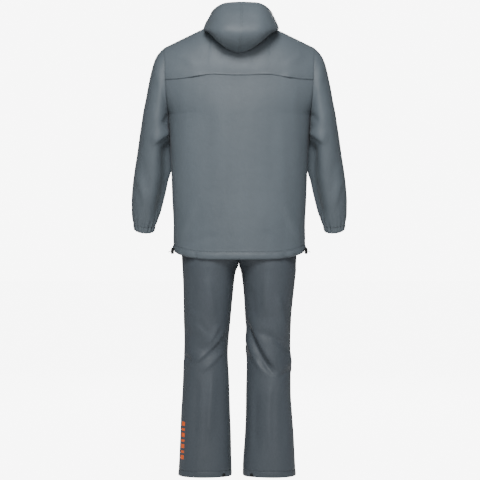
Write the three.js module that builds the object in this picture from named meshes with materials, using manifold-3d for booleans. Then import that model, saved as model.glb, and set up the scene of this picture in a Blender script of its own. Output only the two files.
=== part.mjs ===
// Rain suit of coated cloth, a hooded jacket over trousers, filled out as when worn.
// Millimetres. +Z is up, the front faces +Y, the wearer's right is +X.
// Height 0 is the level of the shoulders beside the neck.
import * as THREE from 'three';
import { mergeVertices } from 'three/addons/utils/BufferGeometryUtils.js';
import Module from 'manifold-3d';

const wasm = await Module();
wasm.setup();

// Driving sizes
const CLOTH = 1.4;              // wall of the coated cloth
const CASING = 2.4;             // wall of a turned hem, two layers and more
const SEAM = 0.3;               // clearance between two pieces at a seam
const BODY_POWER = 2.3;         // squareness of the jacket's round
const JOIN_Z = -183;            // widest level of the armhole
const ARM_HALF = 119;           // half the armhole's height
const ARM_BACK = 72;            // armhole's depth to the back
const ARM_FRONT = 66;           // armhole's depth to the front
const SHOULDER_TIP_X = 267;     // armhole's top
const ARMHOLE_LEAN = 0.0651;    // the armhole closes in towards the armpit
const SHOULDER_SLOPE = 0.48;    // fall of the shoulder seam
const NECK_HALF = 95;
const NECK_SEAM_U = 0.4;        // share of a half panel's width that ends on the neckline
const NECK_STEPS = 4;           // columns there
const SHOULDER_STEPS = 5;       // columns from there to the armhole
const NECK_BACK = { y: -72, z: -2 };
const NECK_SIDE = { y: -8, z: 19 };
const NECK_FRONT = { y: 95, z: -62 };
const ZIP_HALF = 6.3;           // half the strip that the zip takes
const YOKE_RAISE = 2.2;         // the yoke's flap stands off the back panel
const YOKE_EDGE_SHARE = 0.05;   // its edge rises towards the middle by this share of the yoke
const HEM_SIDE_Z = -787;
const HEM_BACK_Z = -814;
const HEM_FRONT_Z = -800;
const HEM_CASING = 25;
const SEAT_X = -2;              // centre seams of the trousers
const CROTCH_Z = -834;
const WAIST_Z = -540;
const WAIST_CASING = 36;
const LEG_HEM = 22;
const LEG_END_Z = -1577;

// Jacket sections: half width at the side seam, depth to the back and to the front
const BODY = [
  { z: -183, half: 259, back: 118, front: 112 },
  { z: -302, half: 251.5, back: 124, front: 121 },
  { z: -400, half: 246.5, back: 124, front: 126 },
  { z: -504, half: 241.5, back: 122, front: 128 },
  { z: -603, half: 238, back: 121, front: 128 },
  { z: -700, half: 233.5, back: 121, front: 126 },
  { z: -765, half: 234, back: 120, front: 124 },
  { z: -830, half: 233, back: 119, front: 123 },
];

// Sleeve rings: outer and inner edge points, depths, forward shift and backward dip in degrees
const SLEEVE = [
  { step: 0, xo: 267, zo: -64, xi: 251.5, zi: -302, back: 72, front: 66, y: 0, dip: 0 },
  { step: 1, xo: 282, zo: -79, xi: 252.6, zi: -304.5, back: 73, front: 67, y: 0, dip: 0 },
  { step: 2, xo: 294, zo: -95, xi: 253.1, zi: -308, back: 74, front: 68, y: 0, dip: 0 },
  { step: 3, xo: 303, zo: -115, xi: 253.3, zi: -312.5, back: 75, front: 70, y: 0, dip: 1 },
  { step: 4, xo: 313, zo: -150, xi: 253.1, zi: -320, back: 76, front: 72, y: 1, dip: 2 },
  { step: 5, xo: 325, zo: -205, xi: 252.4, zi: -334, back: 77, front: 74, y: 3, dip: 4 },
  { step: 6, xo: 335, zo: -262, xi: 251.2, zi: -354, back: 77, front: 75, y: 6, dip: 6 },
  { step: 7, xo: 345, zo: -320, xi: 249.9, zi: -382, back: 76, front: 74, y: 10, dip: 9 },
  { step: 8, xo: 355, zo: -378, xi: 248.7, zi: -415, back: 73, front: 72, y: 15, dip: 11 },
  { step: 9, xo: 364, zo: -436, xi: 247.9, zi: -455, back: 70, front: 69, y: 21, dip: 13 },
  { step: 10, xo: 374, zo: -496, xi: 248.6, zi: -502, back: 66, front: 65, y: 29, dip: 16 },
  { step: 11, xo: 382, zo: -556, xi: 258, zi: -556, back: 61, front: 60, y: 37, dip: 18 },
  { step: 12, xo: 386, zo: -610, xi: 271, zi: -610, back: 55, front: 54, y: 46, dip: 20 },
  { step: 13, xo: 386, zo: -650, xi: 283, zi: -653, back: 49, front: 48, y: 53, dip: 22 },
  { step: 14, xo: 382, zo: -684, xi: 298, zi: -692, back: 41, front: 40, y: 59, dip: 22 },
];
const CUFF_END = { step: 15, xo: 380, zo: -705, xi: 303.5, zi: -713, back: 38, front: 37, y: 63, dip: 22 };
const SLEEVE_STOPS = [0, 1, 2, 3, 4, 5, 5.7, 6.1, 6.4, 6.7, 7, 7.3, 7.6, 7.9, 8.3, 9, 10, 11, 12, 13, 14];
const GATHER_ROWS = 2;          // rows above the cuff that carry the gathers
const GATHER_DEPTH = 2.2;

// Largest folds of the sleeves: step and angle of the middle, reach in steps and degrees,
// slant in steps a degree, and depth
const SLEEVE_FOLDS = [
  { step: 7, turn: 145, tall: 0.26, wide: 34, slant: -0.02, depth: 7 },
  { step: 7, turn: 218, tall: 0.26, wide: 26, slant: 0.02, depth: 5 },
];

// Hood stations round the neck, from centre back (0) to centre front (180).
// down is the share of the way from neck to yoke seam where the pouch turns,
// bulge is its widest point and rim the edge of the face opening.
const HOOD = [
  { turn: 0, down: 0.6, bx: 0, by: -200, bz: -35, rx: 0, ry: -122, rz: 83 },
  { turn: 25, down: 0.54, bx: 62, by: -187, bz: -34, rx: 54, ry: -116, rz: 80 },
  { turn: 50, down: 0.4, bx: 106, by: -148, bz: -22, rx: 91, ry: -94, rz: 66 },
  { turn: 75, down: 0.17, bx: 129, by: -80, bz: -8, rx: 109, ry: -48, rz: 51 },
  { turn: 90, down: 0.05, bx: 119, by: -30, bz: 30, rx: 110, ry: -16, rz: 46 },
  { turn: 108, down: 0.03, bx: 106, by: 14, bz: 26, rx: 105, ry: 22, rz: 41 },
  { turn: 130, down: 0.03, bx: 92, by: 60, bz: 6, rx: 90, ry: 64, rz: 33 },
  { turn: 155, down: 0.03, bx: 55, by: 97, bz: -24, rx: 56, ry: 98, rz: 18 },
  { turn: 180, down: 0.03, bx: 6.3, by: 104, bz: -34, rx: 6.3, ry: 106, rz: 10 },
];
const HOOD_LIFT = 4.5;          // the pouch rests this far off the cloth below it
const HOOD_SHIFT = 6;           // the pouch sits a little to the wearer's right

// Trouser sections: edges seen from behind (left and right leg, outer and inner),
// the deepest line of the seat, depths, the leg's middle, and the centre seam's share of depth
const LEGS = [
  { z: -540, lo: 166, li: 0, ri: 0, ro: 166, seat: 70, back: 96, front: 92, mid: 0, rise: 0.98 },
  { z: -576, lo: 174, li: 0, ri: 0, ro: 174, seat: 70, back: 100, front: 95, mid: 0, rise: 0.98 },
  { z: -650, lo: 192, li: 0, ri: 0, ro: 194, seat: 72, back: 109, front: 99, mid: 0, rise: 0.98 },
  { z: -740, lo: 204, li: 0, ri: 0, ro: 207, seat: 60, back: 114.5, front: 101, mid: 0, rise: 0.96 },
  { z: -790, lo: 203, li: 0, ri: 0, ro: 206, seat: 72, back: 110, front: 100, mid: 0, rise: 0.74 },
  { z: -818, lo: 202, li: 0, ri: 0, ro: 205, seat: 88, back: 102.5, front: 99, mid: 0, rise: 0.42 },
  { z: -834, lo: 201, li: 0.3, ri: 0.3, ro: 204, seat: 100, back: 101, front: 98, mid: 0, rise: 0.0 },
  { z: -852, lo: 200, li: 11, ri: 8, ro: 204, seat: 106, back: 100, front: 97, mid: 1, rise: 0 },
  { z: -873, lo: 199, li: 15, ri: 11, ro: 202, seat: 109, back: 98.5, front: 95, mid: 2, rise: 0 },
  { z: -937, lo: 197, li: 20, ri: 17, ro: 195, seat: 111, back: 95, front: 90, mid: 5, rise: 0 },
  { z: -1022, lo: 196, li: 28, ri: 22, ro: 187, seat: 114, back: 88, front: 84, mid: 8, rise: 0 },
  { z: -1108, lo: 194, li: 36, ri: 27, ro: 184, seat: 116, back: 82, front: 79, mid: 8, rise: 0 },
  { z: -1193, lo: 197, li: 40, ri: 27, ro: 185, seat: 119, back: 77, front: 75, mid: 2, rise: 0 },
  { z: -1278, lo: 200, li: 37, ri: 25, ro: 185, seat: 120, back: 75, front: 72, mid: -4, rise: 0 },
  { z: -1363, lo: 205, li: 34, ri: 24, ro: 190, seat: 122, back: 75, front: 72, mid: -8, rise: 0 },
  { z: -1448, lo: 208, li: 30, ri: 20, ro: 196, seat: 122, back: 76, front: 73, mid: -10, rise: 0 },
  { z: -1534, lo: 212, li: 25, ri: 14, ro: 200, seat: 122, back: 77, front: 74, mid: -12, rise: 0 },
  { z: -1577, lo: 215, li: 23, ri: 13, ro: 203, seat: 123, back: 78, front: 75, mid: -12, rise: 0 },
];

// Largest folds of the legs: middle height, angle round the leg, reach, slant and depth
const LEG_FOLDS = {
  left: [
    { z: -1085, turn: 70, tall: 26, wide: 38, slant: -0.9, depth: 5 },
    { z: -1130, turn: 105, tall: 24, wide: 42, slant: -0.7, depth: 6 },
    { z: -1168, turn: 55, tall: 14, wide: 24, slant: -0.6, depth: 3.5 },
  ],
  right: [
    { z: -1110, turn: 75, tall: 46, wide: 22, slant: 2.2, depth: 6 },
    { z: -1190, turn: 108, tall: 40, wide: 26, slant: 1.8, depth: 5 },
  ],
};

const GREY = 0x6c757b;
const GREY_DARK = 0x5a6269;
const BLACK = 0x16181a;

const lerp = (a, b, t) => a + (b - a) * t;
const radians = (degrees) => degrees * Math.PI / 180;
const smooth = (t) => {
  const s = Math.min(1, Math.max(0, t));
  return s * s * (3 - 2 * s);
};

// Smooth value of one named column of a table, at a place along its key column
function column(table, key, name, at) {
  const rising = table[table.length - 1][key] > table[0][key];
  const rows = rising ? table : [...table].reverse();
  const last = rows.length - 1;
  const place = Math.min(rows[last][key], Math.max(rows[0][key], at));
  let i = 0;
  while (i < last - 1 && rows[i + 1][key] < place) i += 1;
  const slope = (j) => (rows[j + 1][name] - rows[j][name]) / (rows[j + 1][key] - rows[j][key]);
  const tangent = (j) => {
    if (j === 0) return slope(0);
    if (j === last) return slope(last - 1);
    const product = slope(j - 1) * slope(j);
    return product <= 0 ? 0 : 2 * product / (slope(j - 1) + slope(j));
  };
  const span = rows[i + 1][key] - rows[i][key];
  const t = (place - rows[i][key]) / span;
  const a = (1 + 2 * t) * (1 - t) ** 2;
  const b = t * (1 - t) ** 2 * span;
  const c = t * t * (3 - 2 * t);
  const d = t * t * (t - 1) * span;
  return a * rows[i][name] + b * tangent(i) + c * rows[i + 1][name] + d * tangent(i + 1);
}

// Point of a squared oval at an eccentric angle
function oval(half, depth, power, angle) {
  const c = Math.cos(angle);
  const s = Math.sin(angle);
  const k = (Math.abs(c) ** power + Math.abs(s) ** power) ** (-1 / power);
  return { x: half * c * k, y: depth * s * k };
}

const armholeX = (z) => SHOULDER_TIP_X + ARMHOLE_LEAN * (z - JOIN_Z - ARM_HALF);

// Jacket below the widest level of the armhole: share u runs from the centre to the side
function bodySection(face, u, z, start) {
  const depth = column(BODY, 'z', face, z);
  const reach = face === 'back' ? ARM_BACK : ARM_FRONT;
  const drop = (JOIN_Z - z) / ARM_HALF;
  let half = column(BODY, 'z', 'half', z);
  let end = 0;
  if (drop < 1) {
    const edge = reach * Math.sqrt(1 - drop * drop);
    half = armholeX(z) / (1 - (edge / depth) ** BODY_POWER) ** (1 / BODY_POWER);
    end = Math.atan2(edge / depth, armholeX(z) / half);
  }
  const first = Math.atan2(1, start / half);
  const point = oval(half, depth, BODY_POWER, lerp(first, end, u));
  return new THREE.Vector3(point.x, face === 'back' ? -point.y : point.y, z);
}

// Neckline and shoulder seam, from the centre to the armhole's top
function upperEdge(face, u, start) {
  if (u > NECK_SEAM_U) {
    const x = lerp(NECK_HALF, SHOULDER_TIP_X, (u - NECK_SEAM_U) / (1 - NECK_SEAM_U));
    const y = lerp(NECK_SIDE.y, 0, (x - NECK_HALF) / (SHOULDER_TIP_X - NECK_HALF));
    return new THREE.Vector3(x, y, NECK_SIDE.z - SHOULDER_SLOPE * (x - NECK_HALF));
  }
  const middle = face === 'back' ? NECK_BACK : NECK_FRONT;
  const angle = u / NECK_SEAM_U * Math.PI / 2;
  const x = lerp(start, NECK_HALF, Math.sin(angle));
  const y = lerp(NECK_SIDE.y, middle.y, Math.cos(angle));
  return new THREE.Vector3(x, y, lerp(NECK_SIDE.z, middle.z, Math.cos(angle) ** 1.5));
}

// Jacket above the widest level of the armhole: share v runs up to the shoulder
function bodyUpper(face, u, v, start) {
  const low = bodySection(face, u, JOIN_Z, start);
  const high = upperEdge(face, u, start);
  const sweep = radians(lerp(face === 'back' ? 62 : 50, 90, smooth(u / NECK_SEAM_U)));
  const rise = Math.sin(v * sweep) / Math.sin(sweep);
  const inward = (1 - Math.cos(v * sweep)) / (1 - Math.cos(sweep));
  return new THREE.Vector3(
    lerp(low.x, high.x, rise),
    lerp(low.y, high.y, inward),
    lerp(low.z, high.z, rise),
  );
}

// One sheet of places: h under 0 is a height below the join, h of 0 to 1 a share above it
function bodyPoint(face, u, h, start = 0) {
  return h < 0 ? bodySection(face, u, JOIN_Z + h, start) : bodyUpper(face, u, h, start);
}

function hemZ(face, u) {
  const middle = face === 'back' ? HEM_BACK_Z : HEM_FRONT_Z;
  return lerp(middle, HEM_SIDE_Z, smooth((u - 0.25) / 0.75));
}

// Outward direction of a sheet at a place, from its neighbours
function outward(sheet, u, v, stepU, stepV, limits) {
  const u0 = Math.max(limits.u0, u - stepU);
  const u1 = Math.min(limits.u1, u + stepU);
  const v0 = Math.max(limits.v0, v - stepV);
  const v1 = Math.min(limits.v1, v + stepV);
  const across = sheet(u1, v).sub(sheet(u0, v));
  const along = sheet(u, v1).sub(sheet(u, v0));
  return across.cross(along).normalize();
}

// Closed wall between two grids of points, each grid a list of rows
function wallGeometry(outer, inner, loop) {
  const rows = outer.length;
  const cols = outer[0].length;
  const points = [];
  for (const grid of [outer, inner]) {
    for (const row of grid) {
      for (const point of row) points.push(point.x, point.y, point.z);
    }
  }
  const at = (layer, r, c) => layer * rows * cols + r * cols + (c % cols);
  const faces = [];
  const quad = (a, b, c, d) => faces.push(a, b, c, a, c, d);
  const spans = loop ? cols : cols - 1;
  for (let r = 0; r < rows - 1; r += 1) {
    for (let c = 0; c < spans; c += 1) {
      quad(at(0, r, c), at(0, r, c + 1), at(0, r + 1, c + 1), at(0, r + 1, c));
      quad(at(1, r, c), at(1, r + 1, c), at(1, r + 1, c + 1), at(1, r, c + 1));
    }
  }
  for (let c = 0; c < spans; c += 1) {
    quad(at(1, 0, c), at(1, 0, c + 1), at(0, 0, c + 1), at(0, 0, c));
    quad(at(0, rows - 1, c), at(0, rows - 1, c + 1), at(1, rows - 1, c + 1), at(1, rows - 1, c));
  }
  if (!loop) {
    for (let r = 0; r < rows - 1; r += 1) {
      quad(at(0, r, 0), at(0, r + 1, 0), at(1, r + 1, 0), at(1, r, 0));
      quad(at(1, r, cols - 1), at(1, r + 1, cols - 1), at(0, r + 1, cols - 1), at(0, r, cols - 1));
    }
  }
  const geometry = new THREE.BufferGeometry();
  geometry.setAttribute('position', new THREE.Float32BufferAttribute(points, 3));
  geometry.setIndex(signedVolume(points, faces) < 0 ? flipped(faces) : faces);
  return geometry;
}

function signedVolume(points, faces) {
  let sum = 0;
  const corner = (i) => new THREE.Vector3(points[3 * i], points[3 * i + 1], points[3 * i + 2]);
  for (let i = 0; i < faces.length; i += 3) {
    sum += corner(faces[i]).dot(corner(faces[i + 1]).cross(corner(faces[i + 2])));
  }
  return sum;
}

function flipped(faces) {
  const turned = [];
  for (let i = 0; i < faces.length; i += 3) turned.push(faces[i], faces[i + 2], faces[i + 1]);
  return turned;
}

// Moves the edge rows and columns of a grid inward, half a seam each
function drawIn(grid, edges) {
  const rows = grid.length;
  const cols = grid[0].length;
  const pull = (point, towards) => {
    const way = towards.clone().sub(point);
    return point.add(way.setLength(Math.min(SEAM / 2, way.length() / 2)));
  };
  if (edges.includes('start')) grid[0].forEach((point, c) => pull(point, grid[1][c]));
  if (edges.includes('end')) grid[rows - 1].forEach((point, c) => pull(point, grid[rows - 2][c]));
  if (edges.includes('first')) grid.forEach((row) => pull(row[0], row[1]));
  if (edges.includes('last')) grid.forEach((row) => pull(row[cols - 1], row[cols - 2]));
  return grid;
}

const group = new THREE.Group();

function addMesh(name, geometry, colour, roughness = 0.5) {
  const material = new THREE.MeshStandardMaterial({ color: colour, roughness, metalness: 0 });
  const mesh = new THREE.Mesh(geometry, material);
  mesh.name = name;
  group.add(mesh);
}

const mirrored = (grid) => grid.map((row) => row.map((p) => new THREE.Vector3(-p.x, p.y, p.z)));

// Columns of a half panel, and of a piece with no centre seam
const halfColumns = (count) => Array.from({ length: count + 1 }, (_, i) => i / count);
const bodyHalf = [
  ...halfColumns(NECK_STEPS).map((t) => t * NECK_SEAM_U),
  ...halfColumns(SHOULDER_STEPS).slice(1).map((t) => lerp(NECK_SEAM_U, 1, t)),
];
const bodyAcross = [...bodyHalf.slice(1).map((u) => -u).reverse(), ...bodyHalf];

// Grid of a jacket panel with its inner face, for u of either sign
function jacketPanel(face, columns, heights, start, raise) {
  const sheet = (u, h) => {
    const point = bodyPoint(face, Math.abs(u), h, start);
    return u < 0 ? point.setX(-point.x) : point;
  };
  const limits = { u0: start > 0 ? 0 : -1, u1: 1, v0: -700, v1: 1 };
  const turn = face === 'back' ? 1 : -1;
  const outer = [];
  const inner = [];
  for (const height of heights) {
    const outerRow = [];
    const innerRow = [];
    for (const u of columns) {
      const h = typeof height === 'function' ? height(Math.abs(u)) : height;
      const stepV = h < -1 ? 1 : 0.004;
      const bounds = h < 0 ? { ...limits, v1: 0 } : { ...limits, v0: 0 };
      const way = outward(sheet, u, h, 0.004, stepV, bounds).multiplyScalar(turn);
      if (typeof height === 'function' && h < 0) way.setZ(0).normalize();
      const atArmhole = Math.abs(u) > 0.999 && h > -ARM_HALF - 0.5;
      if (atArmhole) {
        const z = JOIN_Z + Math.min(0, h);
        way.set(0, way.y, way.z);
        const flat = way.length() < 1e-3;
        if (flat) way.set(0, 0, z < JOIN_Z ? -1 : 1);
        way.normalize();
        way.x = way.z * ARMHOLE_LEAN * Math.sign(u);
      }
      const base = sheet(u, h).addScaledVector(way, raise(u, h));
      outerRow.push(base);
      innerRow.push(base.clone().addScaledVector(way, -CLOTH));
    }
    outer.push(outerRow);
    inner.push(innerRow);
  }
  return { outer, inner };
}

const noRaise = () => 0;

// Heights of the jacket's rows below the join; the last follows the hem's curve
function lowerHeights(face, first) {
  const plain = [-42, -79, -104, -ARM_HALF, -150, -215, -290, -370, -450, -530];
  const casingTop = (u) => hemZ(face, u) + HEM_CASING - JOIN_Z;
  return [...first, ...plain, casingTop];
}

function buildBack() {
  const heights = lowerHeights('back', [0.1, 0.04, -2]);
  const panel = jacketPanel('back', bodyAcross, heights, 0, noRaise);
  const edges = ['start', 'end', 'first', 'last'];
  addMesh('back_panel', wallGeometry(drawIn(panel.outer, edges), drawIn(panel.inner, edges)), GREY);
}

// The flap gapes a little at three places
const FLAP_GAPES = [
  { u: -0.42, wide: 0.13, lift: 2.4 },
  { u: 0.3, wide: 0.07, lift: 1.4 },
  { u: 0.56, wide: 0.1, lift: 2 },
];

function flapRaise(u, h) {
  const near = 1 - smooth((h - 0.12) / 0.2);
  const gape = FLAP_GAPES.reduce((sum, g) => sum + g.lift * Math.exp(-(((u - g.u) / g.wide) ** 2)), 0);
  const open = gape * (1 - smooth(h / 0.1));
  return YOKE_RAISE * near + Math.max(0, open);
}

function buildYoke() {
  const edge = (u) => YOKE_EDGE_SHARE * (1 - smooth((u - 0.25) / 0.6));
  const heights = [edge, 0.1, 0.17, 0.3, 0.45, 0.6, 0.75, 0.88, 1];
  const panel = jacketPanel('back', bodyAcross, heights, 0, flapRaise);
  const edges = ['end', 'first', 'last'];
  addMesh('back_yoke', wallGeometry(drawIn(panel.outer, edges), drawIn(panel.inner, edges)), GREY);
}

function buildFronts() {
  const upper = [1, 0.85, 0.68, 0.5, 0.32, 0.15, 0];
  const rows = lowerHeights('front', upper);
  const panel = jacketPanel('front', bodyHalf, rows, ZIP_HALF, noRaise);
  const edges = ['start', 'end', 'first', 'last'];
  const outer = drawIn(panel.outer, edges);
  const inner = drawIn(panel.inner, edges);
  addMesh('front_right', wallGeometry(outer, inner), GREY);
  addMesh('front_left', wallGeometry(mirrored(outer), mirrored(inner)), GREY);
}

// Turned hem round the jacket, open at the zip: share w runs from one front edge to the other
function buildHemCasing() {
  const profile = [
    { drop: 0, out: 0.2 },
    { drop: 0.45, out: 1.8 },
    { drop: 0.85, out: 0.6 },
    { drop: 1, out: -2.6 },
  ];
  const stops = [
    ...bodyHalf.map((u) => ({ face: 'front', u, side: -1 })),
    ...bodyHalf.slice(0, -1).reverse().map((u) => ({ face: 'back', u, side: -1 })),
    ...bodyHalf.slice(1).map((u) => ({ face: 'back', u, side: 1 })),
    ...bodyHalf.slice(0, -1).reverse().map((u) => ({ face: 'front', u, side: 1 })),
  ];
  const outer = [];
  const inner = [];
  for (const ring of profile) {
    const outerRow = [];
    const innerRow = [];
    for (const stop of stops) {
      const start = stop.face === 'front' ? ZIP_HALF : 0;
      const z = hemZ(stop.face, stop.u) + HEM_CASING * (1 - ring.drop);
      const point = bodySection(stop.face, stop.u, z, start);
      const beside = bodySection(stop.face, Math.max(0, stop.u - 0.01), z, start);
      const after = bodySection(stop.face, Math.min(1, stop.u + 0.01), z, start);
      const run = after.sub(beside);
      const way = new THREE.Vector3(Math.abs(run.y), Math.sign(point.y || 1) * run.x, 0);
      way.normalize();
      if (stop.u === 1) way.set(1, 0, 0);
      const corner = smooth((stop.u - 0.7) / 0.3) * smooth((ring.drop - 0.4) / 0.6) * 9;
      const place = point.clone().addScaledVector(way, ring.out - corner);
      const inside = point.clone().addScaledVector(way, ring.out - corner - CASING);
      outerRow.push(new THREE.Vector3(stop.side * place.x, place.y, place.z));
      innerRow.push(new THREE.Vector3(stop.side * inside.x, inside.y, inside.z));
    }
    outer.push(outerRow);
    inner.push(innerRow);
  }
  const edges = ['start', 'first', 'last'];
  addMesh('hem_casing', wallGeometry(drawIn(outer, edges), drawIn(inner, edges)), GREY);
}

// Point on a sleeve ring at an angle: 0 outer edge, 90 back, 180 inner edge, 270 front
function ringPoint(ring, angle, grow) {
  const half = new THREE.Vector3(ring.xo - ring.xi, 0, ring.zo - ring.zi).divideScalar(2);
  const middle = new THREE.Vector3((ring.xo + ring.xi) / 2, ring.y, (ring.zo + ring.zi) / 2);
  const dip = radians(ring.dip);
  const s = Math.sin(angle);
  const depth = (s > 0 ? ring.back : ring.front) + grow;
  const across = half.clone().setLength(half.length() + grow);
  return middle
    .addScaledVector(across, Math.cos(angle))
    .add(new THREE.Vector3(0, -Math.cos(dip), -Math.sin(dip)).multiplyScalar(depth * s));
}

const SLEEVE_COLUMNS = 24;

function gatherWave(column, row, rows) {
  const fade = Math.max(0, (row - (rows - 1 - GATHER_ROWS)) / GATHER_ROWS);
  return (column % 2 ? -1 : 1) * GATHER_DEPTH * fade;
}

function sleeveFold(step, angle) {
  return SLEEVE_FOLDS.reduce((sum, fold) => {
    const about = angle * 180 / Math.PI - fold.turn;
    const along = (step - fold.step - fold.slant * about) / fold.tall;
    return sum - fold.depth * Math.exp(-(along * along) - (about / fold.wide) ** 2);
  }, 0);
}

const sleeveRing = (step) => Object.fromEntries(
  Object.keys(SLEEVE[0]).map((name) => [name, column(SLEEVE, 'step', name, step)]),
);

function sleeveRings(rings, thick, wave) {
  const outer = [];
  const inner = [];
  rings.forEach((ring, row) => {
    const outerRow = [];
    const innerRow = [];
    for (let c = 0; c < SLEEVE_COLUMNS; c += 1) {
      const angle = c / SLEEVE_COLUMNS * 2 * Math.PI;
      const shift = Math.min(0, wave(c, row, rings.length)) + sleeveFold(ring.step, angle);
      outerRow.push(ringPoint(ring, angle, shift));
      innerRow.push(ringPoint(ring, angle, shift - thick));
    }
    outer.push(outerRow);
    inner.push(innerRow);
  });
  return { outer, inner };
}

function buildSleeves() {
  const edges = ['start', 'end'];
  const tube = sleeveRings(SLEEVE_STOPS.map(sleeveRing), CLOTH, gatherWave);
  const outer = drawIn(tube.outer, edges);
  const inner = drawIn(tube.inner, edges);
  addMesh('sleeve_right', wallGeometry(outer, inner, true), GREY);
  addMesh('sleeve_left', wallGeometry(mirrored(outer), mirrored(inner), true), GREY);
  const top = SLEEVE[SLEEVE.length - 1];
  const blend = (t) => Object.fromEntries(Object.keys(top).map((k) => [k, lerp(top[k], CUFF_END[k], t)]));
  const swollen = (ring, by) => ({ ...ring, xo: ring.xo + by, xi: ring.xi - by, back: ring.back + by });
  const rings = [blend(0), swollen(blend(0.4), 1.2), swollen(blend(0.75), 0.8), blend(1)];
  const band = sleeveRings(rings, CASING, (c) => (c % 2 ? -1.6 : 0));
  const bandOuter = drawIn(band.outer, ['start']);
  const bandInner = drawIn(band.inner, ['start']);
  addMesh('cuff_right', wallGeometry(bandOuter, bandInner, true), GREY);
  addMesh('cuff_left', wallGeometry(mirrored(bandOuter), mirrored(bandInner), true), GREY);
}

// Hood: one column of its cloth from the neck seam, down over the cloth below, out and up
function hoodColumn(turn) {
  const get = (name) => column(HOOD, 'turn', name, turn);
  const face = turn <= 90 ? 'back' : 'front';
  const u = NECK_SEAM_U * (turn <= 90 ? turn / 90 : (180 - turn) / 90);
  const start = turn <= 90 ? 0 : ZIP_HALF;
  const way = face === 'back' ? 1 : -1;
  const limits = { u0: 0, u1: 1, v0: 0, v1: 1 };
  const sheet = (a, b) => bodyUpper(face, a, b, start);
  const onBody = (down, lift) => {
    const across = lerp(u, Math.min(0.9, u * 1.25), down);
    const normal = outward(sheet, across, 1 - down, 0.004, 0.004, limits).multiplyScalar(way);
    if (turn < 1) normal.setX(0).normalize();
    return sheet(across, 1 - down).addScaledVector(normal, lift);
  };
  const down = get('down');
  const step = NECK_SEAM_U / NECK_STEPS;
  const before = Math.floor(u / step + 1e-6) * step;
  const next = sheet(Math.min(NECK_SEAM_U, before + step), 1);
  const seam = sheet(before, 1).lerp(next, (u - before) / step).add(new THREE.Vector3(0, 0, SEAM));
  const bulge = new THREE.Vector3(get('bx'), get('by'), get('bz'));
  const rim = new THREE.Vector3(get('rx'), get('ry'), get('rz'));
  const turnPoint = onBody(down, HOOD_LIFT);
  const under = turnPoint.clone().lerp(bulge, 0.42);
  under.z -= 0.3 * Math.max(0, bulge.z - turnPoint.z) * (1 - smooth((turn - 60) / 60));
  const knots = [
    seam,
    onBody(down * 0.25, HOOD_LIFT),
    onBody(down * 0.62, HOOD_LIFT),
    turnPoint,
    under,
    bulge,
    bulge.clone().lerp(rim, 0.5).add(bulge.clone().sub(turnPoint).setLength(6 * get('down') + 0.01)),
    rim,
  ];
  return new THREE.CatmullRomCurve3(knots, false, 'centripetal');
}

const HOOD_ROWS = 15;
const HOOD_COLUMNS = 4 * NECK_STEPS;

function buildHood() {
  const limits = { u0: 0, u1: 180, v0: 0, v1: 1 };
  const sheet = (turn, v) => hoodColumn(turn).getPoint(v);
  const outer = [];
  const inner = [];
  for (let r = 0; r <= HOOD_ROWS; r += 1) {
    const outerRow = [];
    const innerRow = [];
    for (let c = 0; c <= HOOD_COLUMNS; c += 1) {
      const turn = 180 * c / HOOD_COLUMNS;
      const way = outward(sheet, turn, r / HOOD_ROWS, 0.6, 0.01, limits);
      if (c === 0 || c === HOOD_COLUMNS) way.setX(0).normalize();
      const point = sheet(turn, r / HOOD_ROWS);
      outerRow.push(point);
      innerRow.push(point.clone().addScaledVector(way, -CLOTH));
    }
    outer.push(outerRow);
    inner.push(innerRow);
  }
  const edges = ['first', 'last'];
  const shift = (grid) => grid.map((row, r) => row.map((p) => {
    const share = smooth((r / HOOD_ROWS - 0.45) / 0.4) * smooth((20 - p.y) / 60);
    return new THREE.Vector3(p.x + HOOD_SHIFT * share, p.y, p.z);
  }));
  const right = [drawIn(outer, edges), drawIn(inner, edges)];
  addMesh('hood_right', wallGeometry(shift(right[0]), shift(right[1])), GREY);
  addMesh('hood_left', wallGeometry(shift(mirrored(right[0])), shift(mirrored(right[1]))), GREY);
}

// Trousers: share u runs from the outseam round the back (or front) to the inner seam
function legPoint(side, face, u, z) {
  const get = (name) => column(LEGS, 'z', name, z);
  const sign = side === 'left' ? -1 : 1;
  const outerX = side === 'left' ? get('lo') : get('ro');
  const innerX = side === 'left' ? get('li') : get('ri');
  const seatX = get('seat');
  const depth = get(face);
  const rise = get('rise');
  const part = 0.62;
  let x;
  let y;
  if (u <= part) {
    const angle = u / part * Math.PI / 2;
    const spot = oval(outerX - seatX, depth, 2.05, angle);
    x = seatX + spot.x;
    y = spot.y;
  } else {
    const angle = (u - part) / (1 - part) * Math.PI / 2;
    const spot = oval(seatX - innerX, depth * (1 - rise), 2.1, Math.PI / 2 - angle);
    x = seatX - spot.x;
    y = depth * rise + spot.y;
  }
  const folds = LEG_FOLDS[side].reduce((sum, fold) => {
    const turn = face === 'back' ? u * 180 : 360 - u * 180;
    const along = (z - fold.z) / fold.tall;
    const about = (turn - fold.turn - fold.slant * (z - fold.z) * 0.6) / fold.wide;
    return sum + fold.depth * Math.exp(-(along * along) - about * about);
  }, 0);
  const middle = (outerX + innerX) / 2;
  const shrink = z > CROTCH_Z ? 1 : 1 - folds / Math.max(40, depth);
  x = middle + (x - middle) * shrink;
  y *= shrink;
  return new THREE.Vector3(sign * x + SEAT_X, (face === 'back' ? -y : y) + get('mid'), z);
}

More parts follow.
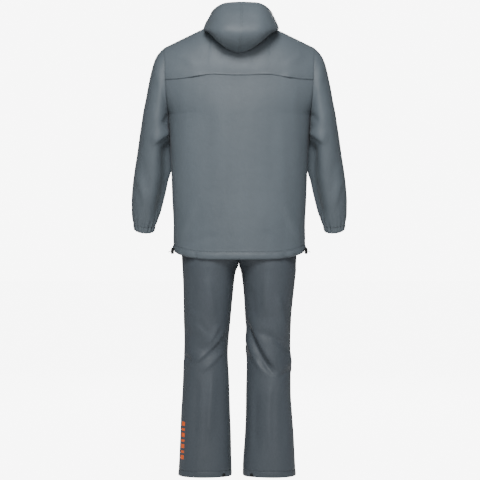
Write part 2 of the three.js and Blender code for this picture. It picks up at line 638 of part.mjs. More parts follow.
function legPanel(side, face, count, heights, thick) {
  const sheet = (u, z) => legPoint(side, face, u, z);
  const limits = { u0: 0, u1: 1, v0: LEG_END_Z, v1: WAIST_Z };
  const turn = (side === 'left' ? 1 : -1) * (face === 'back' ? 1 : -1);
  const outer = [];
  const inner = [];
  for (const height of heights) {
    const outerRow = [];
    const innerRow = [];
    for (const u of halfColumns(count)) {
      const way = outward(sheet, u, height, 0.004, 1, limits).multiplyScalar(turn);
      const point = sheet(u, height);
      if (u === 0) way.set(Math.sign(point.x), 0, 0);
      if (u === 1 && height < CROTCH_Z) way.set(-Math.sign(point.x), 0, 0);
      if (u === 1 && height >= CROTCH_Z) way.setX(0).normalize();
      if (u === 1 && height === CROTCH_Z) way.set(0, 0, -1);
      outerRow.push(point);
      innerRow.push(point.clone().addScaledVector(way, -thick));
    }
    outer.push(outerRow);
    inner.push(innerRow);
  }
  return { outer, inner };
}

const LEG_COLUMNS = 8;

function buildTrousers() {
  const rows = [-576, -630, -690, -740, -780, -806, -824, CROTCH_Z, -845, -865, -910, -975,
    -1040, -1078, -1106, -1134, -1165, -1205, -1280, -1365, -1455, LEG_END_Z + LEG_HEM];
  const edges = ['start', 'end', 'first', 'last'];
  for (const side of ['left', 'right']) {
    for (const face of ['back', 'front']) {
      const panel = legPanel(side, face, LEG_COLUMNS, rows, CLOTH);
      const outer = drawIn(panel.outer, edges);
      const inner = drawIn(panel.inner, edges);
      addMesh(`leg_${side}_${face}`, wallGeometry(outer, inner), GREY_DARK);
    }
  }
}

// Full ring of a leg or of the waist, from its panels' own columns
function joinedRing(parts, height) {
  const points = [];
  for (const part of parts) {
    const list = halfColumns(LEG_COLUMNS).map((u) => legPoint(part.side, part.face, u, height));
    if (part.reverse) list.reverse();
    points.push(...list.slice(part.skip, list.length - part.trim));
  }
  return points;
}

function ringWall(rings, thick) {
  const shrunk = (points) => points.map((point, i) => {
    const before = points[(i + points.length - 1) % points.length];
    const after = points[(i + 1) % points.length];
    const run = after.clone().sub(before);
    const way = new THREE.Vector3(run.y, -run.x, 0).normalize();
    const middle = points.reduce((sum, p) => sum.add(p), new THREE.Vector3()).divideScalar(points.length);
    if (way.dot(middle.sub(point)) < 0) way.negate();
    return point.clone().addScaledVector(way, thick);
  });
  return wallGeometry(rings, rings.map(shrunk), true);
}

function buildBands() {
  const loop = (side) => [
    { side, face: 'back', reverse: false, skip: 0, trim: 1 },
    { side, face: 'front', reverse: true, skip: 0, trim: 1 },
  ];
  const top = LEG_END_Z + LEG_HEM - SEAM / 2;
  for (const side of ['left', 'right']) {
    const rings = [top, top - 8, LEG_END_Z].map((z) => joinedRing(loop(side), z));
    addMesh(`leg_hem_${side}`, ringWall(rings, CASING), GREY_DARK);
  }
  const waist = [
    { side: 'left', face: 'back', reverse: false, skip: 0, trim: 1 },
    { side: 'right', face: 'back', reverse: true, skip: 1, trim: 0 },
    { side: 'right', face: 'front', reverse: false, skip: 1, trim: 1 },
    { side: 'left', face: 'front', reverse: true, skip: 1, trim: 1 },
  ];
  const low = WAIST_Z - WAIST_CASING + SEAM / 2;
  const rings = [WAIST_Z, WAIST_Z - 18, low].map((z) => joinedRing(waist, z));
  addMesh('waistband', ringWall(rings, CASING), GREY_DARK);
}

// Zip: two tapes that meet in the middle, from the hem to the top of the collar
const TAPE = 1.6;

function zipLine() {
  const points = [];
  const low = HEM_FRONT_Z + 2;
  for (let i = 0; i <= 9; i += 1) {
    const z = lerp(low, JOIN_Z, i / 9);
    points.push(bodySection('front', 0, z, ZIP_HALF));
  }
  for (const v of [0.33, 0.66, 0.97]) points.push(bodyUpper('front', 0, v, ZIP_HALF));
  const collar = hoodColumn(180);
  for (const v of [0.55, 0.7, 0.85, 0.99]) points.push(collar.getPoint(v));
  return points;
}

function buildZip() {
  const line = zipLine();
  const strip = (from, to) => {
    const make = (back) => line.map((p) => [from, to].map((x) => new THREE.Vector3(x, p.y - back, p.z)));
    return wallGeometry(make(0), make(TAPE));
  };
  addMesh('zip_tape_right', strip(SEAM / 2, ZIP_HALF - SEAM), BLACK, 0.6);
  addMesh('zip_tape_left', strip(SEAM - ZIP_HALF, -SEAM / 2), BLACK, 0.6);
}

// Solids for joining and cutting
function toSolid(geometry) {
  const plain = geometry.clone();
  for (const name of ['normal', 'uv']) plain.deleteAttribute(name);
  const merged = mergeVertices(plain);
  return new wasm.Manifold(new wasm.Mesh({
    numProp: 3,
    vertProperties: new Float32Array(merged.attributes.position.array),
    triVerts: new Uint32Array(merged.index.array),
  }));
}

function fromSolid(solid) {
  const mesh = solid.getMesh();
  const geometry = new THREE.BufferGeometry();
  geometry.setAttribute('position', new THREE.Float32BufferAttribute(mesh.vertProperties, 3));
  geometry.setIndex([...mesh.triVerts]);
  return geometry;
}

// Slider with an arched loop, and the pull tab that hangs in it
const SLIDER = { z: -22, wide: 10, tall: 11, deep: 3.6, arch: 3.1, hole: 1.5, archWide: 2.2 };
const PULL = { wide: 7, long: 27, thick: 1.5, bar: 0.75, window: 4.4, side: 1.7 };
const PIVOT_LIFT = 2.4;

function zipFrontY(z) {
  const line = zipLine();
  for (let i = 0; i < line.length - 1; i += 1) {
    const inside = z >= line[i].z && z <= line[i + 1].z;
    if (inside) return lerp(line[i].y, line[i + 1].y, (z - line[i].z) / (line[i + 1].z - line[i].z));
  }
  return line[line.length - 1].y;
}

function buildSlider() {
  const face = Math.max(zipFrontY(SLIDER.z - SLIDER.tall / 2), zipFrontY(SLIDER.z + SLIDER.tall / 2));
  const baseY = face + SEAM;
  const body = new THREE.BoxGeometry(SLIDER.wide, SLIDER.deep, SLIDER.tall);
  body.translate(0, baseY + SLIDER.deep / 2, SLIDER.z);
  const axisY = baseY + SLIDER.deep + PIVOT_LIFT;
  const outline = new THREE.Shape().absarc(0, 0, SLIDER.arch, 0, 2 * Math.PI);
  outline.holes.push(new THREE.Path().absarc(0, 0, SLIDER.hole, 0, 2 * Math.PI));
  const arch = new THREE.ExtrudeGeometry(outline, {
    depth: SLIDER.archWide, bevelEnabled: false, curveSegments: 12,
  });
  arch.translate(0, 0, -SLIDER.archWide / 2);
  arch.rotateY(Math.PI / 2);
  arch.translate(0, axisY, SLIDER.z);
  addMesh('zip_slider', fromSolid(toSolid(body).add(toSolid(arch))), BLACK, 0.4);
  const half = PULL.wide / 2;
  const plate = new THREE.Shape();
  plate.moveTo(-half, PULL.bar);
  plate.lineTo(half, PULL.bar);
  plate.lineTo(half, half - PULL.long);
  plate.absarc(0, half - PULL.long, half, 0, -Math.PI, true);
  plate.closePath();
  const open = new THREE.Path();
  open.moveTo(-PULL.side, -PULL.bar);
  open.lineTo(-PULL.side, -PULL.window);
  open.lineTo(PULL.side, -PULL.window);
  open.lineTo(PULL.side, -PULL.bar);
  open.closePath();
  plate.holes.push(open);
  const tab = new THREE.ExtrudeGeometry(plate, { depth: PULL.thick, bevelEnabled: false, curveSegments: 6 });
  tab.translate(0, 0, -PULL.thick / 2);
  tab.rotateX(Math.PI / 2);
  tab.translate(0, axisY, SLIDER.z);
  addMesh('zip_pull', tab, BLACK, 0.4);
}

// Cord locks at the hem's side ends: a barrel with a sprung plunger, on a loop of elastic cord
const LOCK = { x: 235.6, y: -42, top: -777, radius: 6, bore: 4.5, tall: 18, floor: 1.5 };
const PLUNGER = { radius: 4.2, above: 5, cap: 5, capTall: 1.8 };
const CORD = { radius: 1.15, sides: 8, apart: 2.7 };
const CORD_DROP = 8.2;          // the cord's middle, below the barrel's top
const CORD_REACH = { left: 3.6, right: 4.6 };   // cord between the casing and the barrel
const TRAVEL = 2.6;             // how far the plunger is pressed

function lathe(pairs, sides) {
  const geometry = new THREE.LatheGeometry(pairs.map(([r, z]) => new THREE.Vector2(r, z)), sides);
  return geometry.rotateX(Math.PI / 2);
}

function slot(wide, low, high, place) {
  const box = new THREE.BoxGeometry(40, wide, high - low);
  return toSolid(box.translate(place.x, place.y, (low + high) / 2));
}

function buildLock(side) {
  const sign = side === 'left' ? -1 : 1;
  const place = { x: sign * LOCK.x, y: LOCK.y };
  const low = LOCK.top - LOCK.tall;
  const cordZ = LOCK.top - CORD_DROP;
  const cordGap = CORD.radius + 2 * SEAM;
  const slotWide = CORD.apart + 2 * cordGap;
  const barrel = lathe([
    [0, low], [LOCK.radius * 0.72, low], [LOCK.radius, low + 3.5], [LOCK.radius, LOCK.top - 1],
    [LOCK.radius - 1, LOCK.top], [LOCK.bore, LOCK.top], [LOCK.bore, low + LOCK.floor],
    [0, low + LOCK.floor],
  ], 14).translate(place.x, place.y, 0);
  const cut = slot(slotWide, cordZ - cordGap, cordZ + cordGap, place);
  addMesh(`cord_lock_${side}`, fromSolid(toSolid(barrel).subtract(cut)), BLACK, 0.45);
  const shaftLow = cordZ - cordGap - 2;
  const capLow = LOCK.top + PLUNGER.above - PLUNGER.capTall;
  const stem = lathe([
    [0, shaftLow], [PLUNGER.radius, shaftLow], [PLUNGER.radius, capLow], [PLUNGER.cap, capLow],
    [PLUNGER.cap, capLow + 1.2], [PLUNGER.cap - 1.2, capLow + PLUNGER.capTall],
    [0, capLow + PLUNGER.capTall],
  ], 14).translate(place.x, place.y, 0);
  const stemCut = slot(slotWide, cordZ - cordGap, cordZ + cordGap + TRAVEL, place);
  addMesh(`cord_plunger_${side}`, fromSolid(toSolid(stem).subtract(stemCut)), BLACK, 0.45);
}

// Elastic cord: out of the casing, through the lock, round in a loop and back
function buildCord(side) {
  const sign = side === 'left' ? -1 : 1;
  const z = LOCK.top - CORD_DROP;
  const near = CORD.apart / 2;
  const inX = LOCK.x - LOCK.radius - CORD_REACH[side];
  const outX = LOCK.x + LOCK.radius + 2;
  const route = [
    [inX, LOCK.y - near, z], [outX, LOCK.y - near, z], [outX + 4, LOCK.y - near - 1.2, z - 1.5],
    [outX + 6, LOCK.y, z - 3], [outX + 4, LOCK.y + near + 1.2, z - 1.5],
    [outX, LOCK.y + near, z], [inX, LOCK.y + near, z],
  ].map(([x, y, height]) => new THREE.Vector3(sign * x, y, height));
  const path = new THREE.CatmullRomCurve3(route, false, 'centripetal');
  const section = new THREE.Shape();
  for (let i = 0; i < CORD.sides; i += 1) {
    const angle = i / CORD.sides * 2 * Math.PI;
    const spot = [CORD.radius * Math.cos(angle), CORD.radius * Math.sin(angle)];
    if (i === 0) section.moveTo(...spot);
    else section.lineTo(...spot);
  }
  section.closePath();
  const tube = new THREE.ExtrudeGeometry(section, { steps: 18, bevelEnabled: false, extrudePath: path });
  addMesh(`hem_cord_${side}`, tube, BLACK, 0.7);
}

// Snap caps on the leg hems, laid on the hem's own points
const SNAP = { radius: 6, thick: 2.6, z: -1569.5, column: 6 };

function buildSnap(side) {
  const corner = (index) => legPoint(side, 'back', index / LEG_COLUMNS, SNAP.z);
  const run = corner(SNAP.column + 1).sub(corner(SNAP.column));
  const spot = corner(SNAP.column).addScaledVector(run, 0.5);
  const way = new THREE.Vector3(run.y, -run.x, 0).normalize();
  if (way.y > 0) way.negate();
  const r = SNAP.radius;
  const t = SNAP.thick;
  const cap = lathe([[0, 0], [r, 0], [r, t * 0.45], [r * 0.75, t * 0.85], [0, t]], 14);
  cap.applyQuaternion(new THREE.Quaternion().setFromUnitVectors(new THREE.Vector3(0, 0, 1), way));
  const seat = spot.addScaledVector(way, SEAM);
  addMesh(`hem_snap_${side}`, cap.translate(seat.x, seat.y, seat.z), BLACK, 0.35);
}

buildHood();
buildYoke();
buildBack();
buildFronts();
buildHemCasing();
buildSleeves();
buildZip();
buildSlider();
buildTrousers();
buildBands();
for (const side of ['left', 'right']) {
  buildLock(side);
  buildCord(side);
  buildSnap(side);
}

export default group;
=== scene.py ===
# Rain suit of coated cloth: a hooded jacket over trousers, filled out as when worn.
# Tables and sizes are in millimetres, meshes in metres. +Z is up, the front faces +Y,
# the wearer's right is +X. Height 0 is the level of the shoulders beside the neck.
import math

import bmesh
import bpy
import numpy as np
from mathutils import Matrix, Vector


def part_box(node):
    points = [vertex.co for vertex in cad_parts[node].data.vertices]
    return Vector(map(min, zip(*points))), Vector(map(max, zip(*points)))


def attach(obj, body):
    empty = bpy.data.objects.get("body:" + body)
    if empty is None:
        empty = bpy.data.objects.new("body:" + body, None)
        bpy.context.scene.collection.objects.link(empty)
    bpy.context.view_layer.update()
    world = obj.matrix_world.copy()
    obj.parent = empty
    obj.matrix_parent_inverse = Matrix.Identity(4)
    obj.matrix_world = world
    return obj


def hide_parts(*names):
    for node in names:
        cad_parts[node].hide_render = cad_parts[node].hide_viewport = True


bl_info = {
    "name": "Rain suit",
    "version": (1, 0, 0),
    "blender": (4, 5, 0),
    "location": "View3D > Sidebar > Rain suit",
    "description": "Hooded rain jacket and trousers of coated cloth",
    "category": "Object",
}

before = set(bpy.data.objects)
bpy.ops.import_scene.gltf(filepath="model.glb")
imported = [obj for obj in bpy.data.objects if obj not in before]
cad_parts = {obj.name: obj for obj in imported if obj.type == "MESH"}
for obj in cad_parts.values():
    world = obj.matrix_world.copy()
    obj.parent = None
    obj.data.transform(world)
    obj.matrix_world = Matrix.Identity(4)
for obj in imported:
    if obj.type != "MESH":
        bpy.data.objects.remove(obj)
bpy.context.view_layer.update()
MM = 0.001


def rows_under(columns, *rows):
    """Rows of a table as dictionaries under its named columns; a last column may be left out."""
    names = columns.split()
    return [dict(zip(names, row)) for row in rows]


# Columns of a fold as seen from behind: a bent stroke from one end over its middle to the other,
# its half width, its depth (a ridge is more than 0), its roll (one flank high, one low), and
# crisp: which side stays wide (its sign) and how much of the width is left on the other flank
FOLD = "x0 z0 xm zm x1 z1 wide depth roll crisp"

# Driving sizes of the suit
CLOTH = 1.4                     # thickness of one wall of cloth
CASING = 2.4                    # thickness of a turned casing
SEAM = 0.3                      # gap between pieces at a seam
BODY_POWER = 2.3                # roundness of the jacket's sections, where 2 is an ellipse
JOIN_Z = -183                   # widest level of the armhole
ARM_HALF = 119                  # half the armhole's height
ARM_BACK = 72                   # armhole's reach to the back at its widest level
ARM_FRONT = 66
SHOULDER_TIP_X = 267
ARMHOLE_LEAN = 0.0651           # how far the armhole leans inward for each mm down
SHOULDER_SLOPE = 0.48           # fall of the shoulder seam for each mm across
NECK_HALF = 95
NECK_SEAM_U = 0.4               # share of the width where the neckline meets the shoulder seam
NECK_STEPS = 4                  # straight stretches of the neckline from its middle to its side
NECK_BACK = {"y": -72, "z": -2}
NECK_SIDE = {"y": -8, "z": 19}
NECK_FRONT = {"y": 95, "z": -62}
ZIP_HALF = 6.3                  # half the strip that the zip takes
YOKE_RAISE = 2.2                # height of the flap over the back panel
YOKE_EDGE_SHARE = 0.05          # rise of the flap's edge in the middle, as a share of the yoke
HEM_SIDE_Z = -787
HEM_BACK_Z = -814
HEM_FRONT_Z = -800
HEM_CASING = 25                 # height of the hem casing
SEAT_X = -2                     # place of the trousers' centre seam
CROTCH_Z = -834
WAIST_Z = -540
WAIST_CASING = 36               # height of the waistband
LEG_HEM = 22                    # height of the leg hem
LEG_END_Z = -1577

# Sizes of the finer forms
BACK_LIFT = 4.5                 # highest ridge on the back panel
SLEEVE_LIFT = 9.0               # highest ridge on a sleeve
CUFF_STEP = 14                  # sleeve ring where the cuff starts
CUFF_TALL = 25                  # height of the cuff
CUFF_TUCK = 3.0                 # how far the cuff starts under the sleeve
TUCK = 3.0                      # how far the leg hem starts under the leg
GATHER_DEPTH = 2.3
FACET_CURVE = 2.1               # power of the curve on the lower sleeve's inner side
LEAN_WIDE = 9                   # width of the swelling where the sleeve touches the jacket
HOOD_LIFT = 4.5                 # height of the lying hood over the shoulders
HOOD_SHIFT = 8                  # how far the pouch hangs to one side
HOOD_FULL = 18                  # sag of the pouch under its widest line
HOOD_ROUND = 10                 # roundness of the pouch over its widest line
# The hood's cloth under its bulge: share of the way out, and more of it where the pouch is full
HOOD_UNDER = {"share": 0.42, "full": 0.13}
# The legs' front folds are the back's, a little narrower, moved and shallower
LEG_FRONT = {"narrow": 0.96, "aside": 6, "lower": 24, "depth": 0.85}
THREAD_PROUD = 0.2              # how far the stitches lie above the cloth
SHARP_CLOTH = 55                # angle in degrees past which an edge is drawn sharp
SHARP_ROW = 62                  # the same on stitches and zip teeth
SHARP_SNAP = 50

# Jacket sections: half width at the side seam, depth to the back and to the front
BODY = rows_under(
    "z half back front",
    (-183, 259, 118, 112),
    (-302, 251.5, 124, 121),
    (-400, 246.5, 124, 126),
    (-504, 241.5, 122, 128),
    (-603, 238, 121, 128),
    (-700, 233.5, 121, 126),
    (-765, 234, 120, 124),
    (-830, 233, 119, 123),
)

# Sleeve rings: outer and inner edge points, depths, forward shift and backward dip in degrees
SLEEVE = rows_under(
    "step xo zo xi zi back front y dip",
    (0, 267, -64, 251.5, -302, 72, 66, 0, 0),
    (1, 282, -79, 252.6, -304.5, 73, 67, 0, 0),
    (2, 294, -95, 253.1, -308, 74, 68, 0, 0),
    (3, 303, -115, 253.3, -312.5, 75, 70, 0, 1),
    (4, 313, -150, 253.1, -320, 76, 72, 1, 2),
    (5, 325, -205, 252.4, -334, 77, 74, 3, 4),
    (6, 335, -262, 251.2, -354, 77, 75, 6, 6),
    (7, 345, -320, 249.9, -382, 76, 74, 10, 9),
    (8, 355, -378, 248.7, -415, 73, 72, 15, 11),
    (9, 364, -436, 247.9, -455, 70, 69, 21, 13),
    (10, 374, -496, 248.6, -502, 66, 65, 29, 16),
    (11, 382, -556, 258, -556, 61, 60, 37, 18),
    (12, 386, -610, 271, -610, 55, 54, 46, 20),
    (13, 386, -650, 283, -653, 49, 48, 53, 22),
    (14, 382, -684, 298, -692, 41, 40, 59, 22),
    (15, 380, -705, 303.5, -713, 38, 37, 63, 22),
)

# Hood stations round the neck, from centre back (0) to centre front (180)
HOOD = rows_under(
    "turn down bx by bz rx ry rz",
    (0, 0.6, 0, -200, -35, 0, -122, 83),
    (25, 0.54, 62, -187, -34, 54, -116, 80),
    (50, 0.4, 106, -148, -22, 91, -94, 66),
    (75, 0.17, 132, -80, -8, 109, -48, 51),
    (90, 0.05, 119, -30, 30, 110, -16, 46),
    (108, 0.03, 106, 14, 26, 105, 22, 41),
    (130, 0.03, 92, 60, 6, 90, 64, 33),
    (155, 0.03, 55, 97, -24, 56, 98, 18),
    (180, 0.03, 6.3, 104, -34, 6.3, 106, 10),
)

# Trouser sections: edges seen from behind (left and right leg, outer and inner),
# the deepest line of the seat, depths, the leg's middle, and the centre seam's share of depth
LEGS = rows_under(
    "z lo li ri ro seat back front mid rise",
    (-540, 166, 0, 0, 166, 70, 96, 92, 0, 0.98),
    (-576, 174, 0, 0, 174, 70, 100, 95, 0, 0.98),
    (-650, 192, 0, 0, 194, 72, 109, 99, 0, 0.98),
    (-740, 204, 0, 0, 207, 60, 114.5, 101, 0, 0.96),
    (-790, 203, 0, 0, 206, 72, 110, 100, 0, 0.74),
    (-818, 202, 0, 0, 205, 88, 102.5, 99, 0, 0.42),
    (-834, 201, 0.3, 0.3, 204, 100, 101, 98, 0, 0),
    (-852, 200, 8, 6, 204, 106, 100, 97, 1, 0),
    (-873, 199, 13, 10, 202, 109, 98.5, 95, 2, 0),
    (-937, 197, 20, 17, 195, 111, 95, 90, 5, 0),
    (-1022, 196, 28, 22, 187, 114, 88, 84, 8, 0),
    (-1108, 194, 36, 27, 184, 116, 82, 79, 8, 0),
    (-1193, 197, 40, 27, 185, 119, 77, 75, 2, 0),
    (-1278, 200, 37, 25, 185, 120, 75, 72, -4, 0),
    (-1363, 205, 34, 24, 190, 122, 75, 72, -8, 0),
    (-1448, 208, 30, 20, 196, 122, 76, 73, -10, 0),
    (-1534, 212, 25, 14, 200, 122, 77, 74, -12, 0),
    (-1577, 215, 23, 13, 203, 123, 78, 75, -12, 0),
)

# The yoke's flap gapes a little at three places
FLAP_GAPES = rows_under(
    "u wide lift",
    (-0.5, 0.11, 4.2),
    (0.33, 0.05, 3.0),
    (0.6, 0.06, 3.8),
)

# Soft folds of each piece
BACK_FOLDS = rows_under(
    FOLD,
    (-215, -200, -190, -330, -205, -520, 26, 2.2, 0.8),
    (205, -190, 195, -340, 212, -560, 24, 2.0, -0.8),
    (-120, -240, -95, -430, -110, -640, 34, -1.8, 0.6),
    (95, -230, 120, -450, 100, -700, 36, -1.8, -0.5),
    (-20, -200, 5, -420, -12, -690, 40, 1.4, 0.4),
    (-228, -768, -178, -700, -150, -600, 22, 3.6, 0.8, 0.6),
    (-205, -775, -140, -735, -60, -720, 13, -2.2, 0.8),
    (226, -768, 180, -700, 148, -590, 22, 3.6, -0.8, -0.6),
    (200, -775, 130, -730, 70, -700, 13, -2.0, -0.8),
)
YOKE_FOLDS = rows_under(
    FOLD,
    (-235, -90, -190, -110, -140, -150, 15, 1.8, 0.8),
    (235, -90, 195, -115, 150, -155, 15, 1.8, -0.8),
    (-60, -90, -40, -115, -50, -165, 14, 1.2, 0.4),
    (60, -95, 50, -120, 62, -160, 14, -1.2, 0.4),
)
FRONT_FOLDS = rows_under(
    FOLD,
    (-200, -180, -170, -330, -185, -560, 26, 2.2, 0.8),
    (-95, -260, -80, -420, -92, -640, 30, -1.8, 0.6),
    (-215, -765, -150, -700, -80, -660, 15, 2.4, 1.0),
    (205, -185, 180, -350, 192, -590, 25, 2.0, -0.8),
    (85, -240, 100, -450, 90, -660, 32, -1.6, 0.6),
    (220, -760, 160, -690, 100, -640, 16, 2.2, -1.0),
)
SLEEVE_FOLDS = {
    "left": rows_under(
        FOLD,
        (-240, -352, -270, -384, -312, -418, 24, 8.5, 0.0, -0.3),
        (-248, -298, -260, -318, -270, -346, 9, -4.0, -2.0),
        (-345, -230, -330, -330, -338, -470, 20, 2.6, 0.8),
        (-300, -160, -285, -230, -292, -330, 18, -2.8, 0.8),
        (-372, -500, -348, -560, -330, -650, 14, 3.6, 1.2, 0.5),
        (-352, -440, -322, -520, -318, -620, 15, -2.6, 0.5),
    ),
    "right": rows_under(
        FOLD,
        (243, -356, 272, -384, 308, -414, 24, 8.0, 0.0, 0.3),
        (250, -300, 264, -316, 274, -338, 9, -3.6, -1.8),
        (342, -240, 332, -340, 342, -480, 19, 2.4, -0.8),
        (298, -150, 288, -235, 290, -325, 18, -2.6, -0.8),
        (370, -520, 350, -575, 334, -655, 14, 3.4, -1.2, -0.5),
        (350, -450, 324, -530, 320, -630, 15, -2.4, 0.5),
    ),
}
LEG_SOLID_FOLDS = {
    "left": rows_under(
        "z turn tall wide slant depth",
        (-1085, 70, 26, 38, -0.9, 5),
        (-1130, 105, 24, 42, -0.7, 6),
        (-1168, 55, 14, 24, -0.6, 3.5),
    ),
    "right": rows_under(
        "z turn tall wide slant depth",
        (-1110, 75, 46, 22, 2.2, 6),
        (-1190, 108, 40, 26, 1.8, 5),
    ),
}
LEG_FOLDS = {
    "left": rows_under(
        FOLD,
        (-66, -1036, -88, -1080, -118, -1124, 15, 4.0, 0.5, -0.4),
        (-40, -1046, -104, -1150, -194, -1200, 20, 6.0, 0.5, -0.35),
        (-44, -1120, -90, -1180, -140, -1212, 14, 3.0, 0.5, -0.45),
        (-146, -1020, -128, -1052, -100, -1078, 12, -2.4, 1.0),
        (-196, -1150, -186, -1164, -166, -1174, 9, -4.5, 0.0),
        (-92, -1190, -100, -1310, -112, -1490, 22, 4.5, -1.5, 0.5),
        (-150, -1215, -146, -1330, -160, -1520, 18, -3.2, 0.8),
        (-44, -1110, -50, -1320, -42, -1550, 22, 6.0, 0.0),
        (-112, -860, -98, -950, -84, -1040, 26, 3.4, -0.8, -0.5),
        (-165, -850, -158, -960, -168, -1090, 20, -2.6, 0.6),
        (-190, -980, -170, -1010, -140, -1020, 12, 1.8, 0.6),
    ),
    "right": rows_under(
        FOLD,
        (34, -1000, 66, -1130, 166, -1240, 26, 7.0, 0.0, 0.3),
        (22, -1004, 44, -1140, 150, -1250, 8, -7.5, 0.0),
        (18, -1050, 34, -1156, 104, -1232, 9, 5.5, 0.0),
        (138, -925, 154, -1010, 176, -1096, 18, 4.6, -1.0, -0.5),
        (176, -1136, 188, -1168, 172, -1200, 14, 4.5, 0.0),
        (186, -1196, 160, -1216, 128, -1236, 9, -3.0, 0.0),
        (112, -1225, 96, -1340, 106, -1510, 22, 4.2, 1.4, -0.5),
        (60, -1240, 56, -1370, 60, -1520, 15, -3.2, 0.6),
        (150, -1260, 152, -1380, 158, -1520, 17, -2.8, 0.6),
        (92, -850, 82, -940, 96, -1030, 24, 3.0, 0.8, 0.5),
        (36, -900, 52, -960, 60, -1040, 14, -2.4, 0.6),
    ),
}
HOOD_FOLDS = rows_under(
    FOLD,
    (8, -84, 6, -72, 10, -52, 4, -1.6, 0.0),
    (20, -80, 22, -68, 21, -50, 4, -1.4, 0.0),
    (-8, -82, -10, -68, -9, -50, 4, -1.4, 0.0),
    (-95, 30, -64, 0, -36, -40, 18, 1.6, 0.6),
    (52, 95, 64, 30, 58, -50, 30, 2.8, 0.0),
)
HEM_PINCHES = rows_under(
    "x wide depth",
    (-152, 7, 4.5),
    (162, 7, 4.5),
    (-60, 10, 1.0),
    (75, 9, 1.0),
    (118, 6, 1.4),
    (-196, 6, 1.8),
    (200, 6, 1.8),
)


def lerp(a, b, t):
    return a + (b - a) * t


def smooth(t):
    s = np.clip(t, 0.0, 1.0)
    return s * s * (3 - 2 * s)


def column(table, key, name, at):
    """Smooth values of one named column of a table, at places along its key column."""
    rows = sorted(table, key=lambda row: row[key])
    x = np.array([row[key] for row in rows], float)
    y = np.array([row[name] for row in rows], float)
    place = np.clip(np.asarray(at, float), x[0], x[-1])
    i = np.clip(np.searchsorted(x, place, side="left") - 1, 0, len(x) - 2)
    slope = np.diff(y) / np.diff(x)
    product = slope[:-1] * slope[1:]
    total = slope[:-1] + slope[1:]
    middle = np.where(product > 0, 2 * product / np.where(total == 0, 1, total), 0)
    tangent = np.concatenate([slope[:1], middle, slope[-1:]])
    span = x[i + 1] - x[i]
    t = (place - x[i]) / span
    rise = (1 + 2 * t) * (1 - t) ** 2 * y[i] + t * t * (3 - 2 * t) * y[i + 1]
    return rise + t * (1 - t) ** 2 * span * tangent[i] + t * t * (t - 1) * span * tangent[i + 1]


def stack(x, y, z):
    x, y, z = np.broadcast_arrays(x, y, z)
    return np.stack([x, y, z], axis=-1).astype(float)


def oval(half, depth, power, angle):
    """Point across and deep on a rounded section at an angle."""
    c, s = np.cos(angle), np.sin(angle)
    k = (np.abs(c) ** power + np.abs(s) ** power) ** (-1 / power)
    return half * c * k, depth * s * k


def armhole_x(z):
    """Place across of the armhole's plane."""
    return SHOULDER_TIP_X + ARMHOLE_LEAN * (z - JOIN_Z - ARM_HALF)


def body_section(face, u, z, start=0.0):
    """Jacket below the widest level of the armhole: share u runs from the centre to the side."""
    u, z = np.broadcast_arrays(np.asarray(u, float), np.asarray(z, float))
    depth = column(BODY, "z", face, z)
    reach = ARM_BACK if face == "back" else ARM_FRONT
    drop = np.clip((JOIN_Z - z) / ARM_HALF, 0, 1)
    edge = reach * np.sqrt(1 - drop ** 2)
    by_arm = armhole_x(z) / (1 - (edge / depth) ** BODY_POWER) ** (1 / BODY_POWER)
    half = np.where(drop < 1, by_arm, column(BODY, "z", "half", z))
    end = np.where(drop < 1, np.arctan2(edge / depth, armhole_x(z) / half), 0)
    first = np.arctan2(1, start / half)
    x, y = oval(half, depth, BODY_POWER, lerp(first, end, u))
    return stack(x, -y if face == "back" else y, z)


def upper_edge(face, u, start):
    """Neckline and shoulder seam, from the centre to the armhole's top."""
    u = np.asarray(u, float)
    x = lerp(NECK_HALF, SHOULDER_TIP_X, (u - NECK_SEAM_U) / (1 - NECK_SEAM_U))
    y = lerp(NECK_SIDE["y"], 0, (x - NECK_HALF) / (SHOULDER_TIP_X - NECK_HALF))
    shoulder = stack(x, y, NECK_SIDE["z"] - SHOULDER_SLOPE * (x - NECK_HALF))
    middle = NECK_BACK if face == "back" else NECK_FRONT
    angle = np.clip(u / NECK_SEAM_U, 0, 1) * math.pi / 2
    drop = np.clip(np.cos(angle), 0, 1)
    neck = stack(
        lerp(start, NECK_HALF, np.sin(angle)),
        lerp(NECK_SIDE["y"], middle["y"], drop),
        lerp(NECK_SIDE["z"], middle["z"], drop ** 1.5),
    )
    return np.where((u > NECK_SEAM_U)[..., None], shoulder, neck)


def body_upper(face, u, v, start=0.0):
    """Jacket above the widest level of the armhole: share v runs up to the shoulder."""
    u, v = np.broadcast_arrays(np.asarray(u, float), np.asarray(v, float))
    low = body_section(face, u, np.full(u.shape, float(JOIN_Z)), start)
    high = upper_edge(face, u, start)
    sweep = np.radians(lerp(62 if face == "back" else 50, 90, smooth(u / NECK_SEAM_U)))
    rise = (np.sin(v * sweep) / np.sin(sweep))[..., None]
    inward = ((1 - np.cos(v * sweep)) / (1 - np.cos(sweep)))[..., None]
    return np.concatenate([
        lerp(low[..., :1], high[..., :1], rise),
        lerp(low[..., 1:2], high[..., 1:2], inward),
        lerp(low[..., 2:], high[..., 2:], rise),
    ], axis=-1)


def hem_z(face, u):
    """Height of the jacket's lower edge."""
    middle = HEM_BACK_Z if face == "back" else HEM_FRONT_Z
    return lerp(middle, HEM_SIDE_Z, smooth((u - 0.25) / 0.75))


